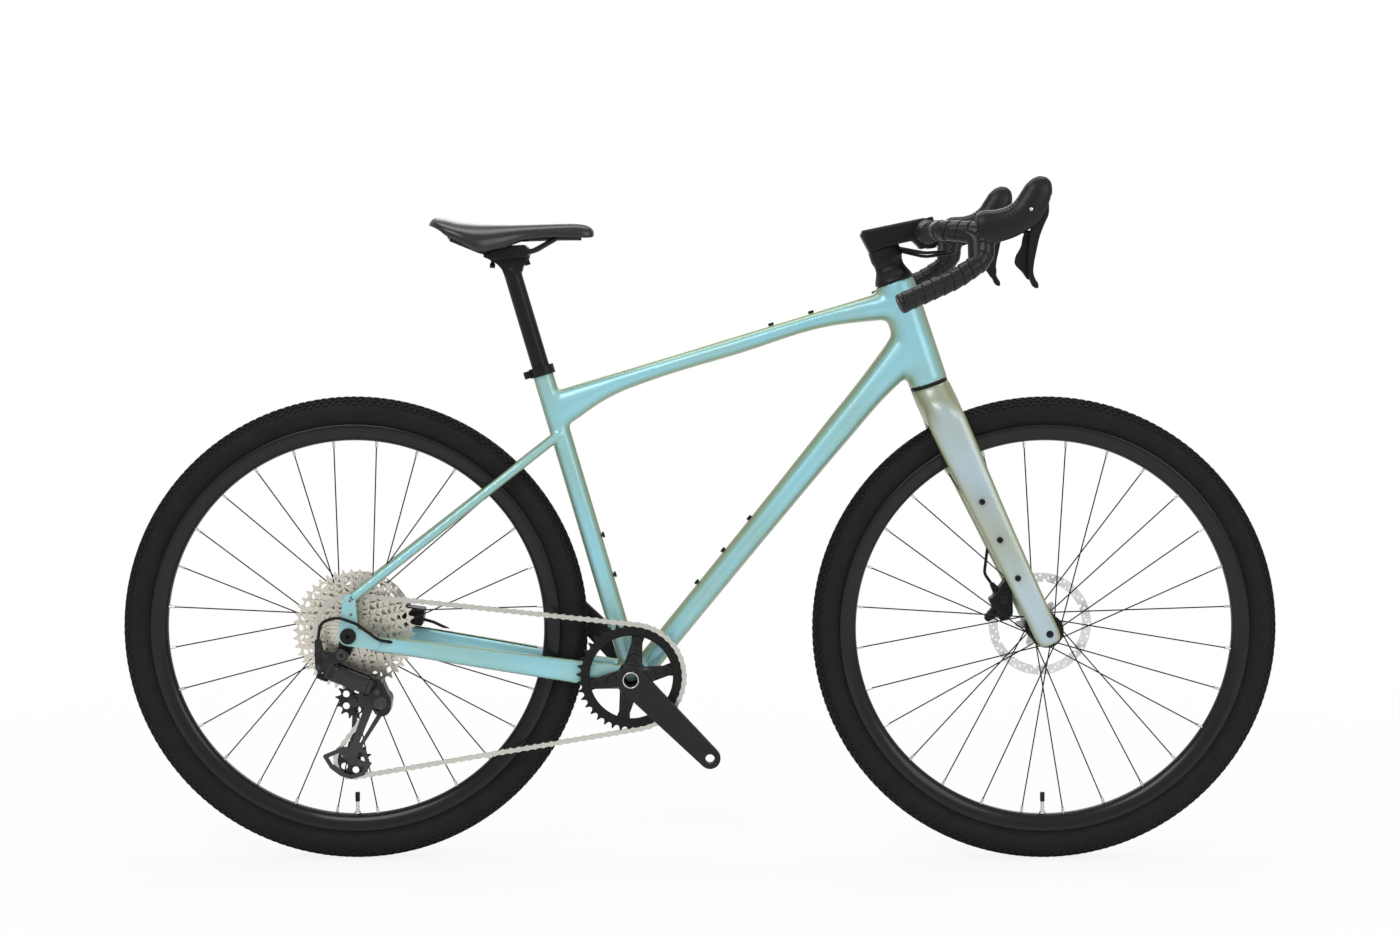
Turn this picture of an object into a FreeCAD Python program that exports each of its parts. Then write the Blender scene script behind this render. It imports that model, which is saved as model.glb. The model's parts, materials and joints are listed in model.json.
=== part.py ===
import FreeCAD, Part
import math
import os
from types import SimpleNamespace

import Sketcher
from FreeCAD import Placement, Rotation, Vector

# A gravel bicycle in millimetres. X points forward, Y to the rider's left, Z up.
# The origin lies on the ground midway between the two axles.

doc = FreeCAD.newDocument("gravel_bike")
sheet = doc.addObject("Spreadsheet::Sheet", "sizes")

SIZES = [
    ("wheelbase", 1062, "axle to axle"),
    ("tyre_radius", 358, "ground to axle"),
    ("tyre_width", 45, "widest part of the tyre"),
    ("tyre_wall", 2.6, "side of the tyre"),
    ("tread_depth", 4.5, "crown of the tyre"),
    ("rim_radius", 316, "outer edge of the rim"),
    ("rim_depth", 26, "rim edge to spoke bed"),
    ("rim_width", 28, "outer width of the rim"),
    ("rim_wall", 1.7, "wall of the rim"),
    ("spoke_count", 28, "spokes in each wheel"),
    ("spoke_radius", 1.0, "plain round spoke"),
    ("nipple_radius", 2.1, "spoke nipple"),
    ("front_hub_width", 100, "between the fork ends"),
    ("rear_hub_width", 142, "between the frame ends"),
    ("axle_radius", 6, "through axle"),
    ("sleeve_radius", 8.5, "fixed sleeve around a through axle"),
    ("hub_bearing_radius", 14, "outside of a hub bearing"),
    ("running_clearance", 0.05, "radial gap of a turning fit"),
    ("rotor_radius", 80, "brake disc"),
    ("rotor_track", 14, "radial width of the brake track"),
    ("rotor_thickness", 1.8, "brake disc"),
    ("front_rotor_side", 40, "front disc from the middle plane"),
    ("rear_rotor_side", 56, "rear disc from the middle plane"),
    ("bottom_bracket_drop", 69, "below the axles"),
    ("chainstay_length", 431.6, "rear axle to bottom bracket"),
    ("seat_tube_angle", 73.5, "degrees from level"),
    ("seat_tube_length", 492, "bottom bracket to top of the tube"),
    ("seat_tube_radius", 16, "outside"),
    ("seatpost_radius", 13.6, "seat post"),
    ("seatpost_wall", 2.2, "seat post"),
    ("head_angle", 71.2, "degrees from level"),
    ("head_tube_length", 166, "along the steering axis"),
    ("head_tube_radius", 30, "outside"),
    ("head_bearing_radius", 26, "outside of a headset bearing"),
    ("head_bearing_height", 8, "headset bearing"),
    ("lower_stack", 3, "crown to lower end of the head tube"),
    ("axle_to_crown", 415.3, "fork length"),
    ("fork_offset", 48, "axle ahead of the steering axis"),
    ("steerer_radius", 14.3, "upper part of the steerer"),
    ("crown_race_radius", 20, "lower part of the steerer"),
    ("frame_wall", 1.6, "wall of the frame tubes"),
    ("shell_radius", 22, "bottom bracket shell"),
    ("shell_bore", 17.5, "bottom bracket shell"),
    ("shell_width", 68, "bottom bracket shell"),
    ("spindle_radius", 12, "crank spindle"),
    ("crank_length", 170, "spindle to pedal hole"),
    ("crank_side", 75.5, "outer face of the crank arms"),
    ("pedal_hole_radius", 7.1, "thread for a pedal"),
    ("chain_pitch", 12.7, "pin to pin"),
    ("roller_radius", 3.85, "chain roller"),
    ("chainring_teeth", 40, "single ring"),
    ("chainring_side", 46, "ring from the middle plane"),
    ("bolt_circle", 110, "chainring bolts"),
    ("smallest_side", 65.5, "smallest sprocket from the middle plane"),
    ("sprocket_spacing", 3.65, "one sprocket to the next"),
    ("sprocket_thickness", 1.6, "each sprocket"),
    ("freehub_radius", 17, "seat of the sprockets"),
    ("pulley_teeth", 13, "both pulleys"),
    ("mech_length", 68, "pivot to pivot of the shifting links"),
    ("mech_spread", 20, "outer link to inner link"),
    ("mech_tilt", 21.7, "slope of the shifting links in degrees"),
    ("mech_pin_radius", 2.5, "pins of the shifting links"),
    ("stem_length", 70, "steerer to handlebar"),
    ("stem_drop", 11.7, "degrees below square to the steerer"),
    ("stem_middle", 238, "stem above the crown along the steerer"),
    ("bar_clamp_radius", 15.9, "handlebar in the stem"),
    ("bar_radius", 11.9, "handlebar elsewhere"),
    ("bar_wall", 2.0, "handlebar"),
    ("tape_radius", 15.2, "outside of the bar tape"),
    ("bar_half_width", 216, "hood from the middle plane"),
    ("bar_flare", 20, "how much wider the drop ends are"),
    ("lever_pin_radius", 2.5, "brake lever pivot"),
    ("hose_radius", 2.4, "brake hose and shift housing"),
    ("rail_radius", 3.5, "saddle rail"),
    ("bolt_radius", 2.4, "shank of the small frame bolts"),
    ("bolt_clearance", 0.1, "around the bolt shanks"),
    ("boss_spacing", 64, "bottle and cargo bosses"),
    ("plug_radius", 14.5, "end of the bar plug"),
]


class Size(float):
    """A number from the sheet that keeps the formula it came from."""

    def __new__(cls, value, formula):
        number = super().__new__(cls, value)
        number.formula = formula
        return number

    def joined(self, other, sign, value, swapped=False):
        text = other.formula if isinstance(other, Size) else repr(other)
        left, right = (text, self.formula) if swapped else (self.formula, text)
        return Size(value, f"({left} {sign} {right})")

    def __add__(self, other):
        return self.joined(other, "+", float(self) + float(other))

    def __radd__(self, other):
        return self.joined(other, "+", float(other) + float(self), True)

    def __sub__(self, other):
        return self.joined(other, "-", float(self) - float(other))

    def __rsub__(self, other):
        return self.joined(other, "-", float(other) - float(self), True)

    def __mul__(self, other):
        return self.joined(other, "*", float(self) * float(other))

    def __rmul__(self, other):
        return self.joined(other, "*", float(other) * float(self), True)

    def __truediv__(self, other):
        return self.joined(other, "/", float(self) / float(other))

    def __neg__(self):
        return self * -1.0


for row, (alias, value, note) in enumerate(SIZES, 1):
    sheet.set(f"A{row}", note)
    sheet.set(f"B{row}", str(value))
    sheet.setAlias(f"B{row}", alias)
doc.recompute()
S = SimpleNamespace(**{alias: Size(sheet.get(alias), f"sizes.{alias}") for alias, value, note in SIZES})

NODES = []


# Small helpers

def node(obj):
    """Mark a finished object for export under its label."""
    NODES.append(obj)
    return obj


def bind(obj, **sizes):
    for name, size in sizes.items():
        if isinstance(size, Size):
            obj.setExpression(name, size.formula)
        else:
            setattr(obj, name, size)


def feature(label, shapes, place=None):
    """A named object from one shape or a list of separate solids."""
    obj = doc.addObject("Part::Feature", label)
    obj.Label = label
    obj.Shape = Part.makeCompound(shapes) if isinstance(shapes, list) else shapes
    if place:
        obj.Placement = place
    return obj


def cylinder(label, radius, height, place):
    obj = doc.addObject("Part::Cylinder", label)
    obj.Label = label
    bind(obj, Radius=radius, Height=height)
    obj.Placement = place
    return obj


def cut(label, base, tools):
    """base with every tool taken away."""
    tool = tools[0]
    if len(tools) > 1:
        tool = doc.addObject("Part::Compound", label + "_tools")
        tool.Links = tools
    obj = doc.addObject("Part::Cut", label)
    obj.Label = label
    obj.Base = base
    obj.Tool = tool
    return obj


def compound(label, links):
    obj = doc.addObject("Part::Compound", label)
    obj.Label = label
    obj.Links = links
    return obj


def turned(label, loops, place):
    """A body turned about its own Y axis from closed outlines of (radius, along)."""
    body = doc.addObject("PartDesign::Body", label)
    body.Label = label
    sketch = body.newObject("Sketcher::SketchObject", label + "_outline")
    plane = next(f for f in body.Origin.OriginFeatures if f.Role == "XY_Plane")
    sketch.AttachmentSupport = [(plane, "")]
    sketch.MapMode = "FlatFace"
    first = 0
    for loop in loops:
        count = len(loop)
        for i in range(count):
            start, end = loop[i], loop[(i + 1) % count]
            line = Part.LineSegment(Vector(start[0], start[1], 0), Vector(end[0], end[1], 0))
            sketch.addGeometry(line, False)
        for i in range(count):
            following = first + (i + 1) % count
            sketch.addConstraint(Sketcher.Constraint("Coincident", first + i, 2, following, 1))
        for i, corner in enumerate(loop):
            for kind, size in (("DistanceX", corner[0]), ("DistanceY", corner[1])):
                rule = Sketcher.Constraint(kind, -1, 1, first + i, 1, float(size))
                index = sketch.addConstraint(rule)
                if isinstance(size, Size):
                    sketch.setExpression(f"Constraints[{index}]", size.formula)
        first += count
    turn = body.newObject("PartDesign::Revolution", label + "_turn")
    turn.Profile = sketch
    turn.ReferenceAxis = (sketch, ["V_Axis"])
    turn.Angle = 360
    sketch.Visibility = False
    body.Placement = place
    return body


def direction(angle):
    """Unit vector in the side view, degrees up from forward."""
    return Vector(math.cos(math.radians(angle)), 0, math.sin(math.radians(angle)))


def rod(start, end, radius):
    return Part.makeCylinder(radius, (end - start).Length, start, end - start)


def ring(centre, axis, outer, inner, length):
    """A plain washer or tube."""
    hole = Part.makeCylinder(inner, length + 2, centre - axis, axis)
    return Part.makeCylinder(outer, length, centre, axis).cut(hole)


def side(u, v, w):
    """Outlines seen from the side: u forward, v up, w to the left."""
    return Vector(u, w, v)


def flat(u, v, w):
    return Vector(u, v, w)


def hull(first, first_radius, second, second_radius, low, high, view=side):
    """A tapered bar around two circles, from w = low to w = high."""
    du, dv = second[0] - first[0], second[1] - first[1]
    base = math.atan2(dv, du)
    open_angle = math.acos((first_radius - second_radius) / math.hypot(du, dv))

    def at(centre, radius, angle):
        return view(centre[0] + radius * math.cos(angle), centre[1] + radius * math.sin(angle), low)

    up, down = base + open_angle, base - open_angle
    a, b = at(first, first_radius, up), at(second, second_radius, up)
    c, d = at(second, second_radius, down), at(first, first_radius, down)
    edges = [
        Part.makeLine(a, b),
        Part.Arc(b, at(second, second_radius, base), c).toShape(),
        Part.makeLine(c, d),
        Part.Arc(d, at(first, first_radius, base + math.pi), a).toShape(),
    ]
    return Part.Face(Part.Wire(edges)).extrude(view(0, 0, high - low))


def disc(centre, radius, low, high, view=side):
    axis = view(0, 0, 1)
    return Part.makeCylinder(radius, high - low, view(centre[0], centre[1], low), axis)


def slab(corners, low, high, view=side):
    """A flat plate with straight edges."""
    points = [view(u, v, low) for u, v in corners]
    return Part.Face(Part.makePolygon(points + points[:1])).extrude(view(0, 0, high - low))


def smooth_plate(corners, low, high, view=side):
    """A flat plate with a flowing outline."""
    curve = Part.BSplineCurve()
    curve.interpolate(Points=[view(u, v, low) for u, v in corners], PeriodicFlag=True)
    return Part.Face(Part.Wire(curve.toShape())).extrude(view(0, 0, high - low))


def section(centre, along_u, along_v, half_u, half_v, power=2.0, count=20):
    """A closed smooth outline: an ellipse for power 2, boxier for more."""
    points = []
    for i in range(count):
        angle = 2 * math.pi * i / count
        c, s = math.cos(angle), math.sin(angle)
        u = math.copysign(abs(c) ** (2 / power), c) * half_u
        v = math.copysign(abs(s) ** (2 / power), s) * half_v
        points.append(centre + along_u * u + along_v * v)
    curve = Part.BSplineCurve()
    curve.interpolate(Points=points, PeriodicFlag=True)
    return Part.Wire(curve.toShape())


def loft(wires):
    return Part.makeLoft(wires, True, False)


def rounded_path(points, radii):
    """Straight runs joined by tangent arcs; radii belong to the inner points."""
    edges = []
    start = points[0]
    for i, radius in enumerate(radii, 1):
        corner = points[i]
        back = (points[i - 1] - corner).normalize()
        ahead = (points[i + 1] - corner).normalize()
        half_turn = (math.pi - back.getAngle(ahead)) / 2
        reach = radius * math.tan(half_turn)
        shorter = min((points[i - 1] - corner).Length, (points[i + 1] - corner).Length)
        reach = min(reach, 0.48 * shorter)
        bend = reach / math.tan(half_turn)
        enter, leave = corner + back * reach, corner + ahead * reach
        towards = (back + ahead).normalize()
        middle = corner + towards * (bend / math.cos(half_turn) - bend)
        edges.append(Part.makeLine(start, enter))
        edges.append(Part.Arc(enter, middle, leave).toShape())
        start = leave
    edges.append(Part.makeLine(start, points[-1]))
    return Part.Wire(edges)


def pipe(path, radius):
    """A round bar swept along a path of lines and arcs."""
    start = path.Edges[0].valueAt(path.Edges[0].FirstParameter)
    tangent = path.Edges[0].tangentAt(path.Edges[0].FirstParameter)
    circle = Part.Wire(Part.makeCircle(radius, start, tangent))
    return path.makePipeShell([circle], True, True)


def mirrored(shape):
    """The same piece on the other side of the bike."""
    return shape.mirror(Vector(0, 0, 0), Vector(0, 1, 0))


def fused(shapes):
    return shapes[0].multiFuse(shapes[1:]).removeSplitter()


# Main points of the bike

LEFT = Vector(0, 1, 0)
UP = Vector(0, 0, 1)
rear_axle = Vector(-S.wheelbase / 2, 0, S.tyre_radius)
front_axle = Vector(S.wheelbase / 2, 0, S.tyre_radius)
bracket_reach = math.sqrt(S.chainstay_length ** 2 - S.bottom_bracket_drop ** 2)
bracket = rear_axle + Vector(bracket_reach, 0, -S.bottom_bracket_drop)
seat_up = direction(180 - S.seat_tube_angle)
seat_ahead = direction(90 - S.seat_tube_angle)
seat_top = bracket + seat_up * S.seat_tube_length
steer_up = direction(180 - S.head_angle)
steer_ahead = direction(90 - S.head_angle)
crown = (front_axle - steer_ahead * S.fork_offset
         + steer_up * math.sqrt(S.axle_to_crown ** 2 - S.fork_offset ** 2))
head_low = crown + steer_up * S.lower_stack
head_high = head_low + steer_up * S.head_tube_length

steer_turn = Rotation(LEFT, S.head_angle - 90)
seat_turn = Rotation(LEFT, S.seat_tube_angle - 90)
across = Rotation(Vector(1, 0, 0), -90)


def on_steerer(height):
    """Placement on the steering axis, height above the crown."""
    return Placement(crown + steer_up * height, steer_turn)


def steer_point(ahead, height, to_left=0.0):
    return crown + steer_ahead * ahead + steer_up * height + LEFT * to_left


# Frame: head tube and its bearings

head_outer = cylinder("head_outer", S.head_tube_radius, S.head_tube_length, on_steerer(S.lower_stack))
head_bore = cylinder("head_bore", S.crown_race_radius + 3, S.head_tube_length, on_steerer(S.lower_stack))
seat_low = cylinder("head_seat_low", S.head_bearing_radius, S.head_bearing_height, on_steerer(S.lower_stack))
upper_seat_height = S.lower_stack + S.head_tube_length - S.head_bearing_height
seat_high = cylinder("head_seat_high", S.head_bearing_radius, S.head_bearing_height,
                     on_steerer(upper_seat_height))
node(cut("head_tube", head_outer, [head_bore, seat_low, seat_high]))

bearing_low = cut(
    "bearing_low",
    cylinder("bearing_low_body", S.head_bearing_radius, S.head_bearing_height, on_steerer(S.lower_stack)),
    [cylinder("bearing_low_bore", S.crown_race_radius + S.running_clearance, S.head_bearing_height,
              on_steerer(S.lower_stack))])
bearing_high = cut(
    "bearing_high",
    cylinder("bearing_high_body", S.head_bearing_radius, S.head_bearing_height,
             on_steerer(upper_seat_height)),
    [cylinder("bearing_high_bore", S.steerer_radius + S.running_clearance, S.head_bearing_height,
              on_steerer(upper_seat_height))])
node(compound("headset_bearings", [bearing_low, bearing_high]))

head_solid = rod(head_low, head_high, S.head_tube_radius)
shell_solid = rod(bracket - LEFT * (S.shell_width / 2), bracket + LEFT * (S.shell_width / 2), S.shell_radius)
seat_solid = rod(bracket, seat_top, S.seat_tube_radius)

# Frame: bottle, cargo and top tube bolts stand square on their tubes

down_foot = bracket + Vector(9, 0, -5)
down_head = head_low + steer_up * 74.2
down_along = (down_head - down_foot).normalize()
down_square = LEFT.cross(down_along).normalize() * -1
top_foot = bracket + seat_up * 436.8
top_head = head_high - steer_up * 23.3
top_along = (top_head - top_foot).normalize()
top_square = LEFT.cross(top_along).normalize() * -1

down_half = 18.6
top_half = 13.2
down_bolts = [down_foot + down_along * reach + down_square * down_half
              for reach in (170 + S.boss_spacing * 2, 170 + S.boss_spacing, 170)]
seat_bolts = [bracket + seat_up * reach + seat_ahead * S.seat_tube_radius
              for reach in (153 + S.boss_spacing, 153)]
top_bolts = [top_foot + top_along * reach + top_square * top_half
             for reach in (358, 358 + S.boss_spacing)]
bolt_sites = ([(p, down_square) for p in down_bolts] + [(p, seat_ahead) for p in seat_bolts]
              + [(p, top_square) for p in top_bolts])


def bolt_holes(sites):
    radius = S.bolt_radius + S.bolt_clearance
    return [rod(p - n * 13, p + n * 8, radius) for p, n in sites]


def frame_bolt(point, outward):
    shank = rod(point - outward * 10, point + outward * 1.5, S.bolt_radius)
    head = rod(point + outward * 0.6, point + outward * 4, 4.4)
    socket = rod(point + outward * 2.2, point + outward * 5, 2.0)
    return fused([head, shank]).cut(socket)


node(feature("frame_bolts", [frame_bolt(p, n) for p, n in bolt_sites]))


# Frame: tubes

def frame_tube(stations, square, wall):
    """Outer and hollow solid of a tube from (point, offset, half height, half width)."""
    outer = loft([section(p + square * o, square, LEFT, h, w, 2.3) for p, o, h, w in stations])
    inner = loft([section(p + square * o, square, LEFT, h - wall, w - wall, 2.3)
                  for p, o, h, w in stations])
    return outer, outer.cut(inner)


def down_station(reach, offset, half_height, half_width):
    return down_foot + down_along * reach, offset, half_height, half_width


def top_station(reach, thickness, half_width):
    """The upper edge stays straight, the lower edge swells at both ends."""
    return top_foot + top_along * reach, top_half - thickness / 2, thickness / 2, half_width


down_reach = (down_head - down_foot).Length
top_reach = (top_head - top_foot).Length
down_outer, down_hollow = frame_tube([
    down_station(0, 0, 16.8, 22),
    down_station(down_reach * 0.25, 0, 17.4, 24),
    down_station(down_reach * 0.5, 0, 18.6, 25),
    down_station(down_reach * 0.72, 0, 20.8, 25.5),
    down_station(down_reach * 0.87, -1, 23.5, 26),
    down_station(down_reach * 0.955, -4, 30, 26.5),
    down_station(down_reach + 20, -9, 42, 27),
], down_square, S.frame_wall)
down_tube = down_hollow.cut(head_solid).cut(shell_solid).cut(seat_solid)
down_tube = down_tube.cut(Part.makeCompound(bolt_holes([(p, down_square) for p in down_bolts])))
node(feature("down_tube", max(down_tube.Solids, key=lambda piece: piece.Volume)))

top_outer, top_hollow = frame_tube([
    top_station(0, 58, 15),
    top_station(31, 49.7, 15.2),
    top_station(55, 41.5, 15.8),
    top_station(78, 35, 16.5),
    top_station(104, 30, 17.5),
    top_station(150, 26.6, 18.5),
    top_station(300, 26.2, 19),
    top_station(top_reach - 115, 26.6, 20),
    top_station(top_reach - 60, 36, 22.5),
    top_station(top_reach - 25, 44, 25),
    top_station(top_reach + 4, 54, 26.5),
], top_square, S.frame_wall)
top_tube = top_hollow.cut(head_solid).cut(seat_solid).cut(down_outer)
top_tube = top_tube.cut(Part.makeCompound(bolt_holes([(p, top_square) for p in top_bolts])))
node(feature("top_tube", max(top_tube.Solids, key=lambda piece: piece.Volume)))

seat_place = Placement(bracket, seat_turn)
seat_outer = cylinder("seat_outer", S.seat_tube_radius, S.seat_tube_length, seat_place)
post_bore = cylinder("seat_bore", S.seatpost_radius + S.running_clearance, S.seat_tube_length, seat_place)
shell_side = Placement(bracket + LEFT * (S.shell_width / 2), Rotation(Vector(1, 0, 0), 90))
shell_tool = cylinder("seat_shell_cut", S.shell_radius, S.shell_width, shell_side)
seat_holes = feature("seat_bolt_holes", bolt_holes([(p, seat_ahead) for p in seat_bolts]))
node(cut("seat_tube", seat_outer, [post_bore, shell_tool, seat_holes]))

shell_body = cylinder("shell_body", S.shell_radius, S.shell_width, shell_side)
shell_hole = cylinder("shell_hole", S.shell_bore, S.shell_width, shell_side)
node(cut("bottom_bracket_shell", shell_body, [shell_hole]))


def bracket_cup(side_sign):
    """Threaded cup with its outer bearing, on one side of the shell."""
    face = bracket + LEFT * (side_sign * S.shell_width / 2)
    out = LEFT * side_sign
    barrel = rod(face - out * 14, face + out * 1, S.shell_bore)
    flange = rod(face, face + out * 9.5, S.shell_radius)
    bore = rod(face - out * 20, face + out * 20, S.spindle_radius + S.running_clearance)
    return fused([barrel, flange]).cut(bore)


node(feature("bottom_bracket_cups", [bracket_cup(-1), bracket_cup(1)]))


# Frame: rear stays and ends. The right end sits outside the gear hanger.

END_SIDE = 79.0
stay_stations = [(-497, 349, END_SIDE, 11.2, 6.0), (-450, 343.5, 70, 11.8, 6.6), (-380, 333, 59, 13, 7.2),
                 (-290, 319, 46.5, 14.5, 7.4), (-200, 305, 34.5, 16, 7.2), (-150, 296, 30, 17, 7.2),
                 (-106, 289, 28.5, 17, 7.2)]


def shifted(x, z):
    """A point of the rear triangle, kept in place between axle and bottom bracket."""
    share = (x + 531.0) / 426.05
    foot = rear_axle + (bracket - rear_axle) * share
    return Vector(foot.x, 0, foot.z + z - (358.0 - 69.0 * share))


def chainstay(wall):
    wires = []
    for x, z, out, half_height, half_width in stay_stations:
        wires.append(section(shifted(x, z) + LEFT * out, UP, LEFT, half_height - wall, half_width - wall, 2.6))
    return loft(wires)


left_stay_solid = chainstay(0.0)
bracket_space = rod(bracket - LEFT * S.shell_width, bracket + LEFT * S.shell_width, S.shell_radius)
left_chainstay = left_stay_solid.cut(chainstay(S.frame_wall)).cut(bracket_space)
left_chainstay = max(left_chainstay.Solids, key=lambda piece: piece.Volume)
node(feature("chainstays", [mirrored(left_chainstay), left_chainstay]))

stay_top = bracket + seat_up * 386
stay_end = rear_axle + Vector(4, 0, 56) + LEFT * END_SIDE
stay_knee = stay_top + (rear_axle + Vector(4, 0, 56) - stay_top) * 0.2 + LEFT * 37
stay_path = rounded_path([stay_top + LEFT * 10, stay_knee, stay_end], [120])
left_seatstay_solid = pipe(stay_path, 8.0)
left_seatstay = left_seatstay_solid.cut(pipe(stay_path, 8.0 - S.frame_wall)).cut(seat_solid)
left_seatstay = max(left_seatstay.Solids, key=lambda piece: piece.Volume)
node(feature("seatstays", [mirrored(left_seatstay), left_seatstay]))


def frame_end(inner, outer):
    """Plate around the axle that joins both stays on the left side."""
    axle = (rear_axle.x, rear_axle.z)
    upper = (axle[0] + 1.5, axle[1] + 54)
    ahead = shifted(-494, 348.6)
    plate = fused([hull(upper, 9.6, axle, 15, inner, outer),
                   hull(axle, 15, (ahead.x, ahead.z), 11.2, inner, outer)])
    plate = plate.cut(disc(axle, S.axle_radius, inner - 1, outer + 1))
    for x, z in ((3.0, 53.5), (4.5, 32.5)):
        plate = plate.cut(disc((axle[0] + x, axle[1] + z), S.bolt_radius, inner - 1, outer + 1))
    plate = plate.cut(left_stay_solid).cut(left_seatstay_solid)
    return max(plate.Solids, key=lambda piece: piece.Volume)


hub_end = S.rear_hub_width / 2
hanger_depth = 6.0
node(feature("rear_dropouts", [mirrored(frame_end(hub_end + hanger_depth, hub_end + 15)),
                               frame_end(hub_end, hub_end + 12)]))

# Seat clamp

collar_low = seat_top - seat_up * 13
collar = ring(collar_low, seat_up, S.seat_tube_radius + 3.6, S.seat_tube_radius, 14)
ear = Part.makeBox(13, 16, 11, Vector(-S.seat_tube_radius - 12, -8, 1.5))
ear.Placement = Placement(collar_low, seat_turn)
ear = ear.cut(rod(collar_low, collar_low + seat_up * 30, S.seat_tube_radius))
gap = Part.makeBox(20, 1.6, 20, Vector(-S.seat_tube_radius - 16, -0.8, -3))
gap.Placement = Placement(collar_low, seat_turn)
collar_bolt_at = collar_low + seat_up * 7 - seat_ahead * (S.seat_tube_radius + 7.4)
collar_bolt = rod(collar_bolt_at - LEFT * 11, collar_bolt_at + LEFT * 8, 2.2)
collar_head = rod(collar_bolt_at - LEFT * 11, collar_bolt_at - LEFT * 8, 3.8)
collar_bolt = fused([collar_bolt, collar_head])
collar = fused([collar, ear]).cut(gap).cut(collar_bolt)
node(feature("seat_collar", [collar, collar_bolt]))

# Seat post, saddle clamp and saddle

post_top = bracket + seat_up * 655
post_low = bracket + seat_up * (S.seat_tube_length - 130)
post = rod(post_low, post_top, S.seatpost_radius)
cradle_at = (post_top.x, 919.0)
neck = hull((post_top.x + 3, post_top.z - 14), 11.5, (cradle_at[0], cradle_at[1]), 8, -11, 11)
yoke = hull((cradle_at[0] - 27, cradle_at[1] - 1.5), 5.5, (cradle_at[0] + 27, cradle_at[1] + 3), 5.5, -10, 10)
hollow = rod(post_low - seat_up, post_top - seat_up * 32, S.seatpost_radius - S.seatpost_wall)
clamp_bolts = [(cradle_at[0] - 27, cradle_at[1] - 1.5), (cradle_at[0] + 27, cradle_at[1] + 3)]
clamp_holes = [rod(Vector(x, 0, z - 30), Vector(x, 0, z + 60), 2.6) for x, z in clamp_bolts]
post_shape = fused([post, neck, yoke]).cut(hollow).cut(Part.makeCompound(clamp_holes))
node(feature("seatpost", post_shape))

RAIL_SIDE = 22.0
rail_height = 936.5
rail_points = [Vector(-212, -8, 963.2), Vector(-258, -RAIL_SIDE, rail_height + 0.5),
               Vector(-330, -RAIL_SIDE, rail_height - 0.5), Vector(-380, -31, 957)]
right_rail = pipe(rounded_path(rail_points, [45, 45]), S.rail_radius)
rails = [right_rail, mirrored(right_rail)]
rail_cut = Part.makeCompound(rails)
lower_cradle = slab([(-322, 925.8), (-264, 926.5), (-264, 936.5), (-322, 936.0)], -27, 27)
upper_cradle = slab([(-325, 937.0), (-261, 937.6), (-264, 943.5), (-322, 943.0)], -27, 27)
clamp_cut = Part.makeCompound(clamp_holes)
cradles = [lower_cradle.cut(rail_cut).cut(clamp_cut).cut(yoke).cut(neck),
           upper_cradle.cut(rail_cut).cut(clamp_cut)]
screws = []
for x, z in clamp_bolts:
    shank = rod(Vector(x, 0, z - 10), Vector(x, 0, 945), 2.5)
    head = rod(Vector(x, 0, z - 13), Vector(x, 0, z - 6.4), 4.2)
    nut = rod(Vector(x, -6, 945.6), Vector(x, 6, 945.6), 3.6).cut(upper_cradle)
    screws.append(fused([shank, head, nut]).cut(yoke.cut(clamp_cut)))
node(feature("saddle_clamp", cradles + screws))
node(feature("saddle_rails", rails))

saddle_stations = [
    (-412.0, 981.5, 975.0, 26, 4.0), (-403.0, 989.0, 964.0, 52, 7.0), (-384.0, 988.0, 953.0, 68, 9.5),
    (-355.0, 983.2, 942.0, 72, 11.0), (-326.0, 980.6, 938.0, 66, 11.5), (-295.0, 979.9, 945.0, 49, 12.0),
    (-262.0, 980.3, 951.0, 33, 13.0), (-225.0, 981.0, 956.0, 25, 13.0), (-192.0, 981.2, 958.5, 20.5, 12.0),
    (-172.0, 978.0, 959.0, 15, 9.5), (-162.5, 970.0, 962.0, 6, 3.5)]


def pad_section(x, top, edge, half, depth):
    """Crowned top and drawn-in sides."""
    return section(Vector(x, 0, (top + edge) / 2), UP, LEFT, (top - edge) / 2, half, 2.3)


def hollow_section(x, top, edge, half, depth):
    """Hollow underside, between the skirts of the cover."""
    return section(Vector(x, 0, edge - 1), UP, LEFT, top - depth - edge + 1, half * 0.8, 2.3)


saddle_pad = loft([pad_section(*station) for station in saddle_stations])
saddle_pad = saddle_pad.cut(loft([hollow_section(*station) for station in saddle_stations[2:-1]]))
saddle_pad = max(saddle_pad.Solids, key=lambda piece: piece.Volume)
node(feature("saddle_pad", saddle_pad))

shell_stations = [(-396.0, 966, 30), (-365.0, 963.5, 40), (-325.0, 961.5, 36), (-280.0, 961.5, 22),
                  (-230.0, 963.0, 14), (-182.0, 963.5, 8)]
saddle_base = loft([section(Vector(x, 0, z), UP, LEFT, 8.5, half, 3.0) for x, z, half in shell_stations])
saddle_base = saddle_base.cut(saddle_pad).cut(rail_cut)
node(feature("saddle_shell", max(saddle_base.Solids, key=lambda piece: piece.Volume)))

# Fork

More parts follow.
